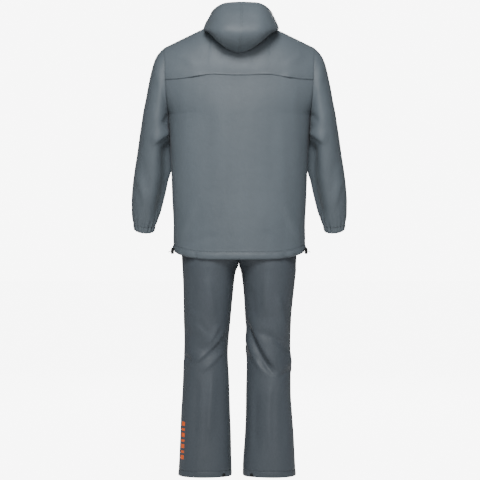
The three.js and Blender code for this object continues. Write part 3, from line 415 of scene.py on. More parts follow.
def leg_point(side, face, u, z):
    """Trousers: share u runs from the outseam round the back or front to the inner seam."""
    u, z = np.broadcast_arrays(np.asarray(u, float), np.asarray(z, float))
    outer = column(LEGS, "z", "lo" if side == "left" else "ro", z)
    inner = column(LEGS, "z", "li" if side == "left" else "ri", z)
    seat = column(LEGS, "z", "seat", z)
    depth = column(LEGS, "z", face, z)
    rise = column(LEGS, "z", "rise", z)
    part = 0.62
    x1, y1 = oval(outer - seat, depth, 2.05, np.clip(u / part, 0, 1) * math.pi / 2)
    turn = math.pi / 2 - np.clip((u - part) / (1 - part), 0, 1) * math.pi / 2
    x2, y2 = oval(seat - inner, depth * (1 - rise), 2.1, turn)
    x = np.where(u <= part, seat + x1, seat - x2)
    y = np.where(u <= part, y1, depth * rise + y2)
    folds = np.zeros(u.shape)
    round_leg = u * 180 if face == "back" else 360 - u * 180
    for fold in LEG_SOLID_FOLDS[side]:
        along = (z - fold["z"]) / fold["tall"]
        about = (round_leg - fold["turn"] - fold["slant"] * (z - fold["z"]) * 0.6) / fold["wide"]
        folds += fold["depth"] * np.exp(-along * along - about * about)
    middle = (outer + inner) / 2
    shrink = np.where(z > CROTCH_Z, 1, 1 - folds / np.maximum(40, depth))
    x = middle + (x - middle) * shrink
    y = y * shrink
    sign = -1 if side == "left" else 1
    return stack(sign * x + SEAT_X, (-y if face == "back" else y) + column(LEGS, "z", "mid", z), z)


def ring_point(step, angle, grow):
    """Point on a sleeve ring: angle 0 is the outer edge, 90 the back, 180 the inner edge."""
    step, angle = np.broadcast_arrays(np.asarray(step, float), np.asarray(angle, float))
    get = {k: column(SLEEVE, "step", k, step) for k in ("xo", "zo", "xi", "zi", "back", "front", "y", "dip")}
    half_x, half_z = (get["xo"] - get["xi"]) / 2, (get["zo"] - get["zi"]) / 2
    length = np.hypot(half_x, half_z)
    scale = (length + grow) / length * np.cos(angle)
    dip = np.radians(get["dip"])
    s = np.sin(angle)
    depth = (np.where(s > 0, get["back"], get["front"]) + grow) * s
    return stack(
        (get["xo"] + get["xi"]) / 2 + half_x * scale,
        get["y"] - np.cos(dip) * depth,
        (get["zo"] + get["zi"]) / 2 + half_z * scale - np.sin(dip) * depth,
    )


def spline(knots, count):
    """Points evenly spread in parameter along a centripetal curve through knots."""
    k = np.asarray(knots, float)
    k = np.vstack([2 * k[0] - k[1], k, 2 * k[-1] - k[-2]])
    spans = len(k) - 3
    out = []
    for t in np.linspace(0, spans, count):
        i = min(int(t), spans - 1)
        w = t - i
        p0, p1, p2, p3 = k[i:i + 4]
        d0, d1, d2 = (max(1e-4, np.sum((b - a) ** 2)) ** 0.25 for a, b in ((p0, p1), (p1, p2), (p2, p3)))
        m1 = ((p1 - p0) / d0 - (p2 - p0) / (d0 + d1) + (p2 - p1) / d1) * d1
        m2 = ((p2 - p1) / d1 - (p3 - p1) / (d1 + d2) + (p3 - p2) / d2) * d1
        c2 = -3 * p1 + 3 * p2 - 2 * m1 - m2
        c3 = 2 * p1 - 2 * p2 + m1 + m2
        out.append(p1 + m1 * w + c2 * w * w + c3 * w ** 3)
    return np.array(out)


def hood_column(turn, count):
    """Hood's cloth at one turn round the neck: up from the seam, down, out and up to the rim."""
    get = {k: float(column(HOOD, "turn", k, turn)) for k in HOOD[0] if k != "turn"}
    face = "back" if turn <= 90 else "front"
    u = NECK_SEAM_U * (turn / 90 if turn <= 90 else (180 - turn) / 90)
    start = 0 if turn <= 90 else ZIP_HALF
    way = 1 if face == "back" else -1

    def on_body(down, lift):
        across = lerp(u, min(0.9, u * 1.25), down)
        u0, u1 = max(0, across - 0.004), min(1, across + 0.004)
        v0, v1 = max(0, 1 - down - 0.004), min(1, 1 - down + 0.004)
        run = body_upper(face, u1, 1 - down, start) - body_upper(face, u0, 1 - down, start)
        climb = body_upper(face, across, v1, start) - body_upper(face, across, v0, start)
        normal = np.cross(run, climb) * way
        if turn < 1:
            normal[0] = 0
        normal /= np.linalg.norm(normal)
        return body_upper(face, across, 1 - down, start) + normal * lift

    down = get["down"]
    step = NECK_SEAM_U / NECK_STEPS
    before = math.floor(u / step + 1e-6) * step
    after = min(NECK_SEAM_U, before + step)
    low_end, high_end = body_upper(face, before, 1.0, start), body_upper(face, after, 1.0, start)
    seam = lerp(low_end, high_end, (u - before) / step) + np.array([0, 0, SEAM])
    bulge = np.array([get["bx"], get["by"], get["bz"]])
    rim = np.array([get["rx"], get["ry"], get["rz"]])
    turn_point = on_body(down, HOOD_LIFT)
    outward = (bulge - turn_point) / np.linalg.norm(bulge - turn_point)
    level = math.hypot(outward[0], outward[1])
    below = np.array([outward[0] * outward[2], outward[1] * outward[2], -level * level]) / level
    full = down / HOOD[0]["down"] * (1 - smooth((turn - 60) / 60))
    under = lerp(turn_point, bulge, HOOD_UNDER["share"] + HOOD_UNDER["full"] * full)
    under[2] -= 0.3 * max(0, bulge[2] - turn_point[2]) * (1 - full) * (1 - smooth((turn - 60) / 60))
    under = under + below * HOOD_FULL * full
    out = outward * (HOOD_ROUND * down / HOOD[0]["down"] + 0.01)
    knots = [
        seam, on_body(down * 0.25, HOOD_LIFT), on_body(down * 0.62, HOOD_LIFT), turn_point,
        under, bulge, lerp(bulge, rim, 0.5) + out, rim,
    ]
    return spline(knots, count)


def stroke_field(x, z, strokes):
    """Height of soft folds at places of a view."""
    total = np.zeros(x.shape)
    t = np.linspace(0, 1, 11)
    for s in strokes:
        px = (1 - t) ** 2 * s["x0"] + 2 * t * (1 - t) * s["xm"] + t * t * s["x1"]
        pz = (1 - t) ** 2 * s["z0"] + 2 * t * (1 - t) * s["zm"] + t * t * s["z1"]
        near = np.full(x.shape, 1e9)
        side = np.zeros(x.shape)
        share = np.zeros(x.shape)
        for i in range(len(t) - 1):
            dx, dz = px[i + 1] - px[i], pz[i + 1] - pz[i]
            length = math.hypot(dx, dz)
            w = np.clip(((x - px[i]) * dx + (z - pz[i]) * dz) / length ** 2, 0, 1)
            ox, oz = x - px[i] - w * dx, z - pz[i] - w * dz
            d = np.hypot(ox, oz)
            closer = d < near
            near = np.where(closer, d, near)
            side = np.where(closer, (dx * oz - dz * ox) / length, side)
            share = np.where(closer, (i + w) / (len(t) - 1), share)
        crisp = s.get("crisp", 1.0)
        wide = np.where(side * math.copysign(1, crisp) > 0, s["wide"], s["wide"] * abs(crisp))
        bell = np.exp(-(near / wide) ** 2)
        taper = smooth(share / 0.3) * smooth((1 - share) / 0.35)
        total += (s["depth"] + s["roll"] * side / s["wide"]) * bell * taper
    return total


def grid_normals(grid, loop=False):
    """Unit normals of a grid of points, before their side is settled."""
    down = np.gradient(grid, axis=0)
    if loop:
        wide = np.concatenate([grid[:, -1:], grid, grid[:, :1]], axis=1)
        across = (wide[:, 2:] - wide[:, :-2]) / 2
    else:
        across = np.gradient(grid, axis=1)
    normal = np.cross(across, down)
    return normal / np.maximum(1e-9, np.linalg.norm(normal, axis=2, keepdims=True))


def outward_normals(grid, centre, loop=False):
    normal = grid_normals(grid, loop)
    side = np.sum(normal * (grid - np.asarray(centre, float)))
    return normal if side > 0 else -normal


def edge_run(grid, edges):
    """Distance of each point from the nearest named edge, along the grid."""
    down = np.zeros(grid.shape[:2])
    down[1:] = np.cumsum(np.linalg.norm(np.diff(grid, axis=0), axis=2), axis=0)
    across = np.zeros(grid.shape[:2])
    across[:, 1:] = np.cumsum(np.linalg.norm(np.diff(grid, axis=1), axis=2), axis=1)
    runs = {"start": down, "end": down[-1:] - down, "first": across, "last": across[:, -1:] - across}
    return np.minimum.reduce([runs[e] for e in edges])


def seam_dip(run, depth=1.1, wide=4.5):
    """Dip of the cloth along a sewn edge."""
    return -depth * np.exp(-(run / wide) ** 2)


def grid_faces(rows, cols, loop):
    """Faces of a closed wall: outer side, inner side and rims."""
    index = np.arange(rows * cols).reshape(rows, cols)
    if loop:
        index = np.concatenate([index, index[:, :1]], axis=1)
    a, b = index[:-1, :-1], index[:-1, 1:]
    c, d = index[1:, 1:], index[1:, :-1]
    outer = np.stack([a, b, c, d], axis=-1).reshape(-1, 4)
    far = rows * cols
    inner = np.stack([a, d, c, b], axis=-1).reshape(-1, 4) + far
    top, low = index[0], index[-1]
    rims = [
        np.stack([top[:-1] + far, top[1:] + far, top[1:], top[:-1]], axis=-1),
        np.stack([low[:-1], low[1:], low[1:] + far, low[:-1] + far], axis=-1),
    ]
    if not loop:
        first, last = index[:, 0], index[:, -1]
        rims.append(np.stack([first[:-1], first[1:], first[1:] + far, first[:-1] + far], axis=-1))
        rims.append(np.stack([last[:-1] + far, last[1:] + far, last[1:], last[:-1]], axis=-1))
    return np.concatenate([outer, inner, *rims])


def linked(name, data):
    """New object of some data, in the scene."""
    obj = bpy.data.objects.new(name, data)
    bpy.context.scene.collection.objects.link(obj)
    return obj


def soften(mesh, sharp):
    """Smooth shading, but for edges past an angle in degrees."""
    mesh.polygons.foreach_set("use_smooth", [True] * len(mesh.polygons))
    mesh.set_sharp_from_angle(angle=math.radians(sharp))


def mesh_object(name, points, faces):
    """New object from points in millimetres, with its faces turned outward."""
    p = np.asarray(points, float) * MM
    quads = np.asarray(faces)
    a, b, c, d = (p[quads[:, i]] for i in range(4))
    volume = np.sum(a * np.cross(b, c)) + np.sum(a * np.cross(c, d))
    if volume < 0:
        quads = quads[:, ::-1]
    mesh = bpy.data.meshes.new(name)
    mesh.from_pydata(p.tolist(), [], quads.tolist())
    mesh.validate()
    soften(mesh, SHARP_CLOTH)
    mesh.update()
    return linked(name, mesh)


def cloth_piece(name, grid, centre, finish, nodes, *, sewn, thick=CLOTH, loop=False, around=None):
    """Closed wall of cloth under a grid of outer points, put on the suit's body."""
    normal = outward_normals(grid, centre, loop)
    inner = grid - thick * normal
    points = np.concatenate([grid.reshape(-1, 3), inner.reshape(-1, 3)])
    obj = mesh_object(name, points, grid_faces(grid.shape[0], grid.shape[1], loop))
    run = edge_run(grid, sewn) * MM
    fields = {"seam_run": np.tile(run.reshape(-1), 2)}
    if around is not None:
        fields["side_run"] = np.tile(around.reshape(-1) * MM, 2)
    for key, values in fields.items():
        layer = obj.data.attributes.new(key, "FLOAT", "POINT")
        layer.data.foreach_set("value", values.astype(np.float32))
    obj.data.materials.append(finish)
    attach(obj, "suit")
    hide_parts(*nodes)
    return obj


class Value:
    """A number inside a material, for use in sums."""

    def __init__(self, paint, socket):
        self.paint = paint
        self.socket = socket

    def maths(self, operation, first, second=None):
        node = self.paint.node("ShaderNodeMath", {"operation": operation}, {0: first, 1: second})
        return Value(self.paint, node.outputs[0])

    def __add__(self, other):
        return self.maths("ADD", self, other)

    __radd__ = __add__

    def __sub__(self, other):
        return self.maths("SUBTRACT", self, other)

    def __rsub__(self, other):
        return self.maths("SUBTRACT", other, self)

    def __mul__(self, other):
        return self.maths("MULTIPLY", self, other)

    def sine(self):
        return self.maths("SINE", self)

    def absolute(self):
        return self.maths("ABSOLUTE", self)

    def most(self, other):
        return self.maths("MAXIMUM", self, other)

    def step(self, low, high):
        """0 below low, 1 above high, smooth between."""
        node = self.paint.node(
            "ShaderNodeMapRange", {"interpolation_type": "SMOOTHSTEP"},
            {"Value": self, "From Min": low, "From Max": high},
        )
        return Value(self.paint, node.outputs["Result"])


class Paint:
    """A material and the nodes made in it."""

    def __init__(self, name):
        self.material = bpy.data.materials.new(name)
        self.material.use_nodes = True
        self.tree = self.material.node_tree
        self.tree.nodes.clear()

    def node(self, kind, settings=None, values=None):
        node = self.tree.nodes.new(kind)
        for key, setting in (settings or {}).items():
            setattr(node, key, setting)
        for key, value in (values or {}).items():
            if value is None:
                continue
            if isinstance(value, Value):
                value = value.socket
            if isinstance(value, bpy.types.NodeSocket):
                self.tree.links.new(value, node.inputs[key])
            else:
                node.inputs[key].default_value = value
        return node

    def place(self):
        return self.node("ShaderNodeTexCoord").outputs["Object"]

    def axes(self):
        node = self.node("ShaderNodeSeparateXYZ", None, {"Vector": self.place()})
        return [Value(self, node.outputs[i]) for i in range(3)]

    def attribute(self, name):
        node = self.node("ShaderNodeAttribute", {"attribute_name": name, "attribute_type": "GEOMETRY"})
        return Value(self, node.outputs["Fac"])

    def stretched(self, scale):
        return self.node("ShaderNodeMapping", None, {"Vector": self.place(), "Scale": scale}).outputs[0]

    def noise(self, scale, detail=2.0, vector=None, roughness=0.5):
        node = self.node(
            "ShaderNodeTexNoise", None,
            {"Vector": vector or self.place(), "Scale": scale, "Detail": detail, "Roughness": roughness},
        )
        return Value(self, node.outputs["Fac"])

    def mix(self, factor, first, second):
        node = self.node(
            "ShaderNodeMix", {"data_type": "RGBA"},
            {"Factor": factor, 6: first, 7: second},
        )
        return node.outputs[2]

    def bump(self, height, strength, distance, under=None):
        node = self.node(
            "ShaderNodeBump", None,
            {"Height": height, "Strength": strength, "Distance": distance, "Normal": under},
        )
        return node.outputs["Normal"]

    def finish(self, values):
        shader = self.node("ShaderNodeBsdfPrincipled", None, values)
        self.node("ShaderNodeOutputMaterial", None, {"Surface": shader.outputs[0]})
        return self.material


def shade(colour, factor):
    return (colour[0] * factor, colour[1] * factor, colour[2] * factor, 1.0)


# Printed blocks up the outer side of the left leg: middle height and height of each
PRINT_BLOCKS = rows_under(
    "z tall",
    (-1392, 15),
    (-1412, 9),
    (-1431, 15),
    (-1451, 9),
    (-1470, 15),
    (-1490, 9),
    (-1509, 15),
)
PRINT_MIDDLE = 40               # along the cloth from the outseam
PRINT_WIDE = 22


def coated_cloth(name, colour, printed=None):
    """Coated woven cloth with a soft shine, fine weave, faint crumple and puckered seams; its colour holds
    painted shade along the seams and painted sheen in vertical streaks.
    """
    paint = Paint(name)
    x, y, z = paint.axes()
    seam = paint.attribute("seam_run")
    cloudy = paint.noise(3.5, 2.0)
    # Painted sheen: soft lighter and darker vertical streaks in the colour, mixed half and half with random
    # mottling.
    painted_sheen_streaks = paint.noise(1.0, 3.0, paint.stretched((16.0, 16.0, 2.2)))
    # Painted shade: the colour darkens toward a deeper grey within a few millimetres of each sewn edge,
    # where the cloth dips at the seam.
    painted_seam_shade = 1.0 - seam.step(0.001, 0.006)
    tone_and_sheen = (cloudy * 0.5 + painted_sheen_streaks * 0.5).step(0.3, 0.7)
    ground = paint.mix(tone_and_sheen, shade(colour, 0.93), shade(colour, 1.07))
    base = paint.mix(painted_seam_shade * 0.16, ground, shade(colour, 0.6))
    if printed is not None:
        run = paint.attribute("side_run")
        edge = PRINT_WIDE / 2 * MM
        across = 1.0 - (run - PRINT_MIDDLE * MM).absolute().step(edge - 0.001, edge)
        mask = None
        for block in PRINT_BLOCKS:
            half = block["tall"] / 2 * MM
            one = 1.0 - (z - block["z"] * MM).absolute().step(half - 0.001, half)
            mask = one if mask is None else mask.most(one)
        ink = mask * across
        base = paint.mix(ink * 0.95, base, shade(printed, 1.0))
    weave = ((x * 0.8 + y * 0.6) * 7000.0).sine() * (z * 7000.0).sine()
    crumple = paint.noise(22.0, 3.0, None, 0.55)
    creased = paint.noise(70.0, 2.0, paint.stretched((1.0, 1.0, 0.6)))
    pucker = paint.noise(160.0, 1.0) * (1.0 - seam.step(0.002, 0.012))
    soft = paint.bump(crumple, 0.35, 0.004)
    finer = paint.bump(creased, 0.25, 0.0012, soft)
    sewn = paint.bump(pucker, 0.7, 0.0014, finer)
    normal = paint.bump(weave, 0.12, 0.0002, sewn)
    rough = 0.46 + cloudy * 0.1 + creased * 0.06
    return paint.finish({
        "Base Color": base, "Roughness": rough, "Normal": normal,
        "Sheen Weight": 0.03, "Sheen Roughness": 0.4, "Specular IOR Level": 0.34,
    })


def moulded_plastic(name, colour):
    """Black moulded plastic with a fine spark finish."""
    paint = Paint(name)
    grain = paint.noise(2600.0, 1.0)
    cloudy = paint.noise(60.0, 2.0)
    base = paint.mix(cloudy, shade(colour, 0.8), shade(colour, 1.3))
    normal = paint.bump(grain, 0.25, 0.00012)
    return paint.finish({
        "Base Color": base, "Roughness": 0.4 + cloudy * 0.12, "Normal": normal, "Specular IOR Level": 0.3,
    })


def woven_tape(name, colour):
    """Black woven zip tape, ribbed along its length."""
    paint = Paint(name)
    x, _, z = paint.axes()
    ribs = (x * 5200.0).sine() * 0.6 + (z * 5200.0).sine() * 0.4
    base = paint.mix(ribs.step(-0.6, 0.8), shade(colour, 0.75), shade(colour, 1.35))
    normal = paint.bump(ribs, 0.6, 0.0003)
    return paint.finish({"Base Color": base, "Roughness": 0.72 + paint.noise(300.0) * 0.1, "Normal": normal})


def braided_cord(name, colour):
    """Black elastic cord with a braided cover."""
    paint = Paint(name)
    x, y, z = paint.axes()
    braid = ((x + z) * 4500.0).sine() * ((x - z + y) * 4500.0).sine()
    base = paint.mix(braid.step(-0.5, 0.6), shade(colour, 0.7), shade(colour, 1.5))
    normal = paint.bump(braid, 0.8, 0.0003)
    return paint.finish({"Base Color": base, "Roughness": 0.6 + paint.noise(400.0) * 0.12, "Normal": normal})


def thread(name, colour):
    """Twisted sewing thread."""
    paint = Paint(name)
    x, y, z = paint.axes()
    twist = ((x + y + z) * 9000.0).sine()
    base = paint.mix(twist.step(-1.0, 1.0), shade(colour, 0.8), shade(colour, 1.2))
    normal = paint.bump(twist, 0.4, 0.0001)
    return paint.finish({"Base Color": base, "Roughness": 0.6 + paint.noise(500.0) * 0.1, "Normal": normal})


class SuitSizes(bpy.types.PropertyGroup):
    """Sizes that a user would change"""

    stitch_pitch: bpy.props.FloatProperty(
        name="Stitch pitch", description="Distance from one stitch to the next",
        default=0.0032, min=0.001, unit="LENGTH")
    stitch_length: bpy.props.FloatProperty(
        name="Stitch length", description="Length of the thread that shows in one stitch",
        default=0.0023, min=0.0005, unit="LENGTH")
    stitch_width: bpy.props.FloatProperty(
        name="Thread width", description="Width of the sewing thread",
        default=0.0006, min=0.0001, unit="LENGTH")
    tooth_pitch: bpy.props.FloatProperty(
        name="Tooth pitch", description="Distance from one zip tooth to the next on one side",
        default=0.0036, min=0.001, unit="LENGTH")
    gathers: bpy.props.IntProperty(
        name="Cuff gathers", description="Number of gathers round each elastic cuff",
        default=17, min=4)
    fold_depth: bpy.props.FloatProperty(
        name="Fold depth", description="Depth of the folds, as a share of the usual depth",
        default=1.0, min=0.0, max=1.5, subtype="FACTOR")


class SuitColours(bpy.types.PropertyGroup):
    """Colours that a user would change"""

    jacket: bpy.props.FloatVectorProperty(
        name="Jacket", description="Colour of the jacket's coated cloth",
        default=(0.082, 0.100, 0.115), size=3, min=0, max=1, subtype="COLOR")
    trousers: bpy.props.FloatVectorProperty(
        name="Trousers", description="Colour of the trousers' coated cloth",
        default=(0.052, 0.063, 0.075), size=3, min=0, max=1, subtype="COLOR")
    black: bpy.props.FloatVectorProperty(
        name="Fittings", description="Colour of the plastic, cord and zip",
        default=(0.006, 0.0065, 0.007), size=3, min=0, max=1, subtype="COLOR")
    stitches: bpy.props.FloatVectorProperty(
        name="Thread", description="Colour of the sewing thread",
        default=(0.040, 0.050, 0.056), size=3, min=0, max=1, subtype="COLOR")
    printed: bpy.props.FloatVectorProperty(
        name="Print", description="Colour of the printed blocks on the left leg",
        default=(0.85, 0.11, 0.0), size=3, min=0, max=1, subtype="COLOR")


MATERIALS = {}
STITCH_LINES = []


def material(kind):
    """The suit's materials, each made once."""
    colours = bpy.context.scene.suit_colours
    makers = {
        "jacket": lambda: coated_cloth("jacket_cloth", colours.jacket),
        "trousers": lambda: coated_cloth("trouser_cloth", colours.trousers),
        "printed": lambda: coated_cloth("printed_trouser_cloth", colours.trousers, colours.printed),
        "plastic": lambda: moulded_plastic("black_plastic", colours.black),
        "tape": lambda: woven_tape("zip_tape", colours.black),
        "cord": lambda: braided_cord("elastic_cord", colours.black),
        "thread": lambda: thread("sewing_thread", colours.stitches),
    }
    if kind not in MATERIALS:
        MATERIALS[kind] = makers[kind]()
    return MATERIALS[kind]


def line_at(grid, run, centre, loop=False):
    """Line across a grid at a distance below its first row, just proud of the cloth."""
    raised = grid + outward_normals(grid, centre, loop) * THREAD_PROUD
    down = np.zeros(grid.shape[:2])
    down[1:] = np.cumsum(np.linalg.norm(np.diff(grid, axis=0), axis=2), axis=0)
    line = []
    for c in range(grid.shape[1]):
        line.append([np.interp(run, down[:, c], raised[:, c, k]) for k in range(3)])
    if loop:
        line.append(line[0])
    return np.array(line)


def sewn_line(*lines):
    for line in lines:
        STITCH_LINES.append(np.asarray(line))


def mirrored(right, side):
    """A piece's points on one side, from those on the right."""
    grid = right.copy()
    if side == "left":
        grid[..., 0] *= -1
    return grid


def turned(grid):
    """The same grid with its rows as columns."""
    return np.swapaxes(grid, 0, 1)


def across_body(count):
    return np.linspace(-1, 1, 2 * count + 1)


def mirror_body(points, u):
    """Turns points of the right half to the left where the share is below 0."""
    points = points.copy()
    points[..., 0] *= np.where(u < 0, -1, 1)
    return points


def depth_share():
    return bpy.context.scene.suit_sizes.fold_depth


def build_back():
    """Back panel below the yoke's flap."""
    u = across_body(48)
    upper = np.linspace(0.1, 0, 6)[:-1]
    arm = JOIN_Z - ARM_HALF * np.sin(np.linspace(0, 1, 18) * math.pi / 2)
    rows = [mirror_body(body_upper("back", np.abs(u), np.full(u.shape, v)), u) for v in upper]
    rows += [mirror_body(body_section("back", np.abs(u), np.full(u.shape, z)), u) for z in arm]
    casing_top = hem_z("back", np.abs(u)) + HEM_CASING
    for share in np.linspace(0, 1, 66)[1:]:
        z = lerp(JOIN_Z - ARM_HALF, casing_top, share)
        rows.append(mirror_body(body_section("back", np.abs(u), z), u))
    grid = np.array(rows)
    centre = (0, 0, -500)
    normal = outward_normals(grid, centre)
    run = edge_run(grid, ("end", "first", "last"))
    lift = stroke_field(grid[..., 0], grid[..., 2], BACK_FOLDS) * depth_share() + seam_dip(run)
    keep = smooth(run / 10)
    grid = grid + normal * (np.minimum(lift, BACK_LIFT) * (0.25 + 0.75 * keep))[..., None]
    cloth_piece("back_panel_cloth", grid, centre, material("jacket"), ["back_panel"],
                sewn=("end", "first", "last"))
    sewn_line(line_at(turned(grid), 4, centre), line_at(turned(grid)[::-1], 4, centre))
    sewn_line(line_at(grid[::-1], 4, centre))


def build_yoke():
    """Back yoke, whose lower edge is a free flap."""
    u = across_body(48)
    edge = YOKE_EDGE_SHARE * (1 - smooth((np.abs(u) - 0.25) / 0.6))
    rows = []
    shares = np.linspace(0, 1, 44) ** 1.15
    for share in shares:
        v = lerp(edge, np.ones(u.shape), share)
        point = mirror_body(body_upper("back", np.abs(u), v), u)
        rows.append(np.concatenate([point, v[:, None]], axis=1))
    stacked = np.array(rows)
    grid, h = stacked[..., :3], stacked[..., 3]
    centre = (0, 0, -150)
    normal = outward_normals(grid, centre)
    near = 1 - smooth((h - 0.12) / 0.2)
    gape = sum(g["lift"] * np.exp(-((u - g["u"]) / g["wide"]) ** 2) for g in FLAP_GAPES)
    run = edge_run(grid, ("end", "first", "last"))
    flap = edge_run(grid, ("start",))
    lift = YOKE_RAISE * near + np.maximum(0, gape[None, :] * (1 - smooth(h / 0.1)))
    lift += stroke_field(grid[..., 0], grid[..., 2], YOKE_FOLDS) * depth_share() * smooth(run / 15)
    lift += seam_dip(run) + 0.5 * (1 - smooth((flap - 7) / 3))
    lift -= 0.7 * np.exp(-((flap - 8) / 2.2) ** 2)
    grid = grid + normal * lift[..., None]
    cloth_piece("back_yoke_cloth", grid, centre, material("jacket"), ["back_yoke"],
                sewn=("end", "first", "last"))
    sewn_line(line_at(grid, 1.8, centre), line_at(grid, 8, centre))
    sewn_line(line_at(turned(grid), 4, centre), line_at(turned(grid)[::-1], 4, centre))


def build_fronts():
    """Left and right front."""
    u = np.linspace(0, 1, 49)
    rows = [body_upper("front", u, np.full(u.shape, v), ZIP_HALF) for v in np.linspace(1, 0, 30)[:-1]]
    arm = JOIN_Z - ARM_HALF * np.sin(np.linspace(0, 1, 18) * math.pi / 2)
    rows += [body_section("front", u, np.full(u.shape, z), ZIP_HALF) for z in arm]
    casing_top = hem_z("front", u) + HEM_CASING
    for share in np.linspace(0, 1, 66)[1:]:
        rows.append(body_section("front", u, lerp(JOIN_Z - ARM_HALF, casing_top, share), ZIP_HALF))
    right = np.array(rows)
    for side in ("right", "left"):
        grid = mirrored(right, side)
        centre = (0, 0, -300)
        normal = outward_normals(grid, centre)
        edges = ("start", "end", "first", "last")
        run = edge_run(grid, edges)
        lift = stroke_field(grid[..., 0], grid[..., 2], FRONT_FOLDS) * depth_share() + seam_dip(run)
        grid = grid + normal * (lift * smooth((run + 3) / 12))[..., None]
        cloth_piece(f"front_{side}_cloth", grid, centre, material("jacket"), [f"front_{side}"],
                    sewn=edges)
        sewn_line(line_at(turned(grid), 5, centre), line_at(turned(grid)[::-1], 4, centre))
        sewn_line(line_at(grid[::-1], 4, centre), line_at(grid, 4, centre))


def build_hem():
    """Turned hem with the drawcord, open at the zip."""
    count = 48
    front = np.linspace(0, 1, count + 1)
    back = np.linspace(0, 1, count + 1)
    stops = [("front", u, -1) for u in front]
    stops += [("back", u, -1) for u in back[:-1][::-1]]
    stops += [("back", u, 1) for u in back[1:]]
    stops += [("front", u, 1) for u in front[:-1][::-1]]
    profile = [
        {"drop": 0, "out": 0.2},
        {"drop": 0.14, "out": 1.8},
        {"drop": 0.45, "out": 3.4},
        {"drop": 0.85, "out": 1.8},
        {"drop": 1, "out": -2.6},
    ]
    drops = np.array([0, 0.06, 0.12, 0.2, 0.3, 0.42, 0.54, 0.66, 0.76, 0.85, 0.93, 1.0])
    grid = np.zeros((len(drops), len(stops), 3))
    for c, (face, u, side) in enumerate(stops):
        start = ZIP_HALF if face == "front" else 0
        z = hem_z(face, u) + HEM_CASING * (1 - drops)
        point = body_section(face, np.full(z.shape, u), z, start)
        beside = body_section(face, np.full(z.shape, max(0, u - 0.01)), z, start)
        after = body_section(face, np.full(z.shape, min(1, u + 0.01)), z, start)
        run = after - beside
        way = stack(np.abs(run[:, 1]), np.sign(np.where(point[:, 1] == 0, 1, point[:, 1])) * run[:, 0], 0)
        way /= np.maximum(1e-9, np.linalg.norm(way, axis=1, keepdims=True))
        if u == 1:
            way[:] = (1, 0, 0)
        out = column(profile, "drop", "out", drops)
        corner = smooth((u - 0.7) / 0.3) * smooth((drops - 0.4) / 0.6) * 9
        pinch = 0.0
        for p in HEM_PINCHES:
            pinch = pinch + p["depth"] * np.exp(-((side * point[:, 0] - p["x"]) / p["wide"]) ** 2)
        ripple = 0.5 * math.sin(c * 0.9) + 0.35 * math.sin(c * 2.3 + 1)
        out = out - (pinch * (0.3 + 0.7 * drops) - ripple * drops) * depth_share()
        place = point + way * (out - corner)[:, None]
        place[:, 0] *= side
        grid[:, c] = place
    centre = (0, 0, -800)
    cloth_piece("hem_casing_cloth", grid, centre, material("jacket"), ["hem_casing"],
                thick=CASING, sewn=("start", "first", "last"))
    sewn_line(line_at(grid, 3, centre))


def gather_wave(angle, count):
    """Depth of the gathers round an elastic cuff."""
    uneven = 0.75 + 0.25 * np.sin(3 * angle + 0.7)
    turns = count * angle + 0.5 * np.sin(2 * angle) + 0.4 * np.sin(3 * angle + 2)
    return -GATHER_DEPTH * (1 - np.cos(turns)) ** 2 / 2 * uneven


def inner_facet(step, angle):
    """Depth by which the lower sleeve's inner side falls away toward the inner edge."""
    across = np.clip(-np.cos(angle), 0, 1)
    depth = np.sqrt(1 - across ** 2)
    falling = 1 - across ** FACET_CURVE
    part = smooth((step - 7.1) / 1.2) * smooth((13.7 - step) / 1.5)
    return column(SLEEVE, "step", "back", step) * np.clip(depth - falling, 0, 1) * part


def lean_on_body(grid, step):
    """Distance across by which the sleeve's inner edge swells to touch the jacket's side."""
    away = np.abs(grid[..., 0])
    inner = away.min(axis=1)
    level = grid[np.arange(len(grid)), away.argmin(axis=1), 2]
    need = np.clip(inner - column(BODY, "z", "half", level) + 0.2, 0, 12)
    near = np.exp(-((away - inner[:, None]) / LEAN_WIDE) ** 2)
    return need[:, None] * near * smooth((step - 0.2) / 0.8) * smooth((10.6 - step) / 0.9)


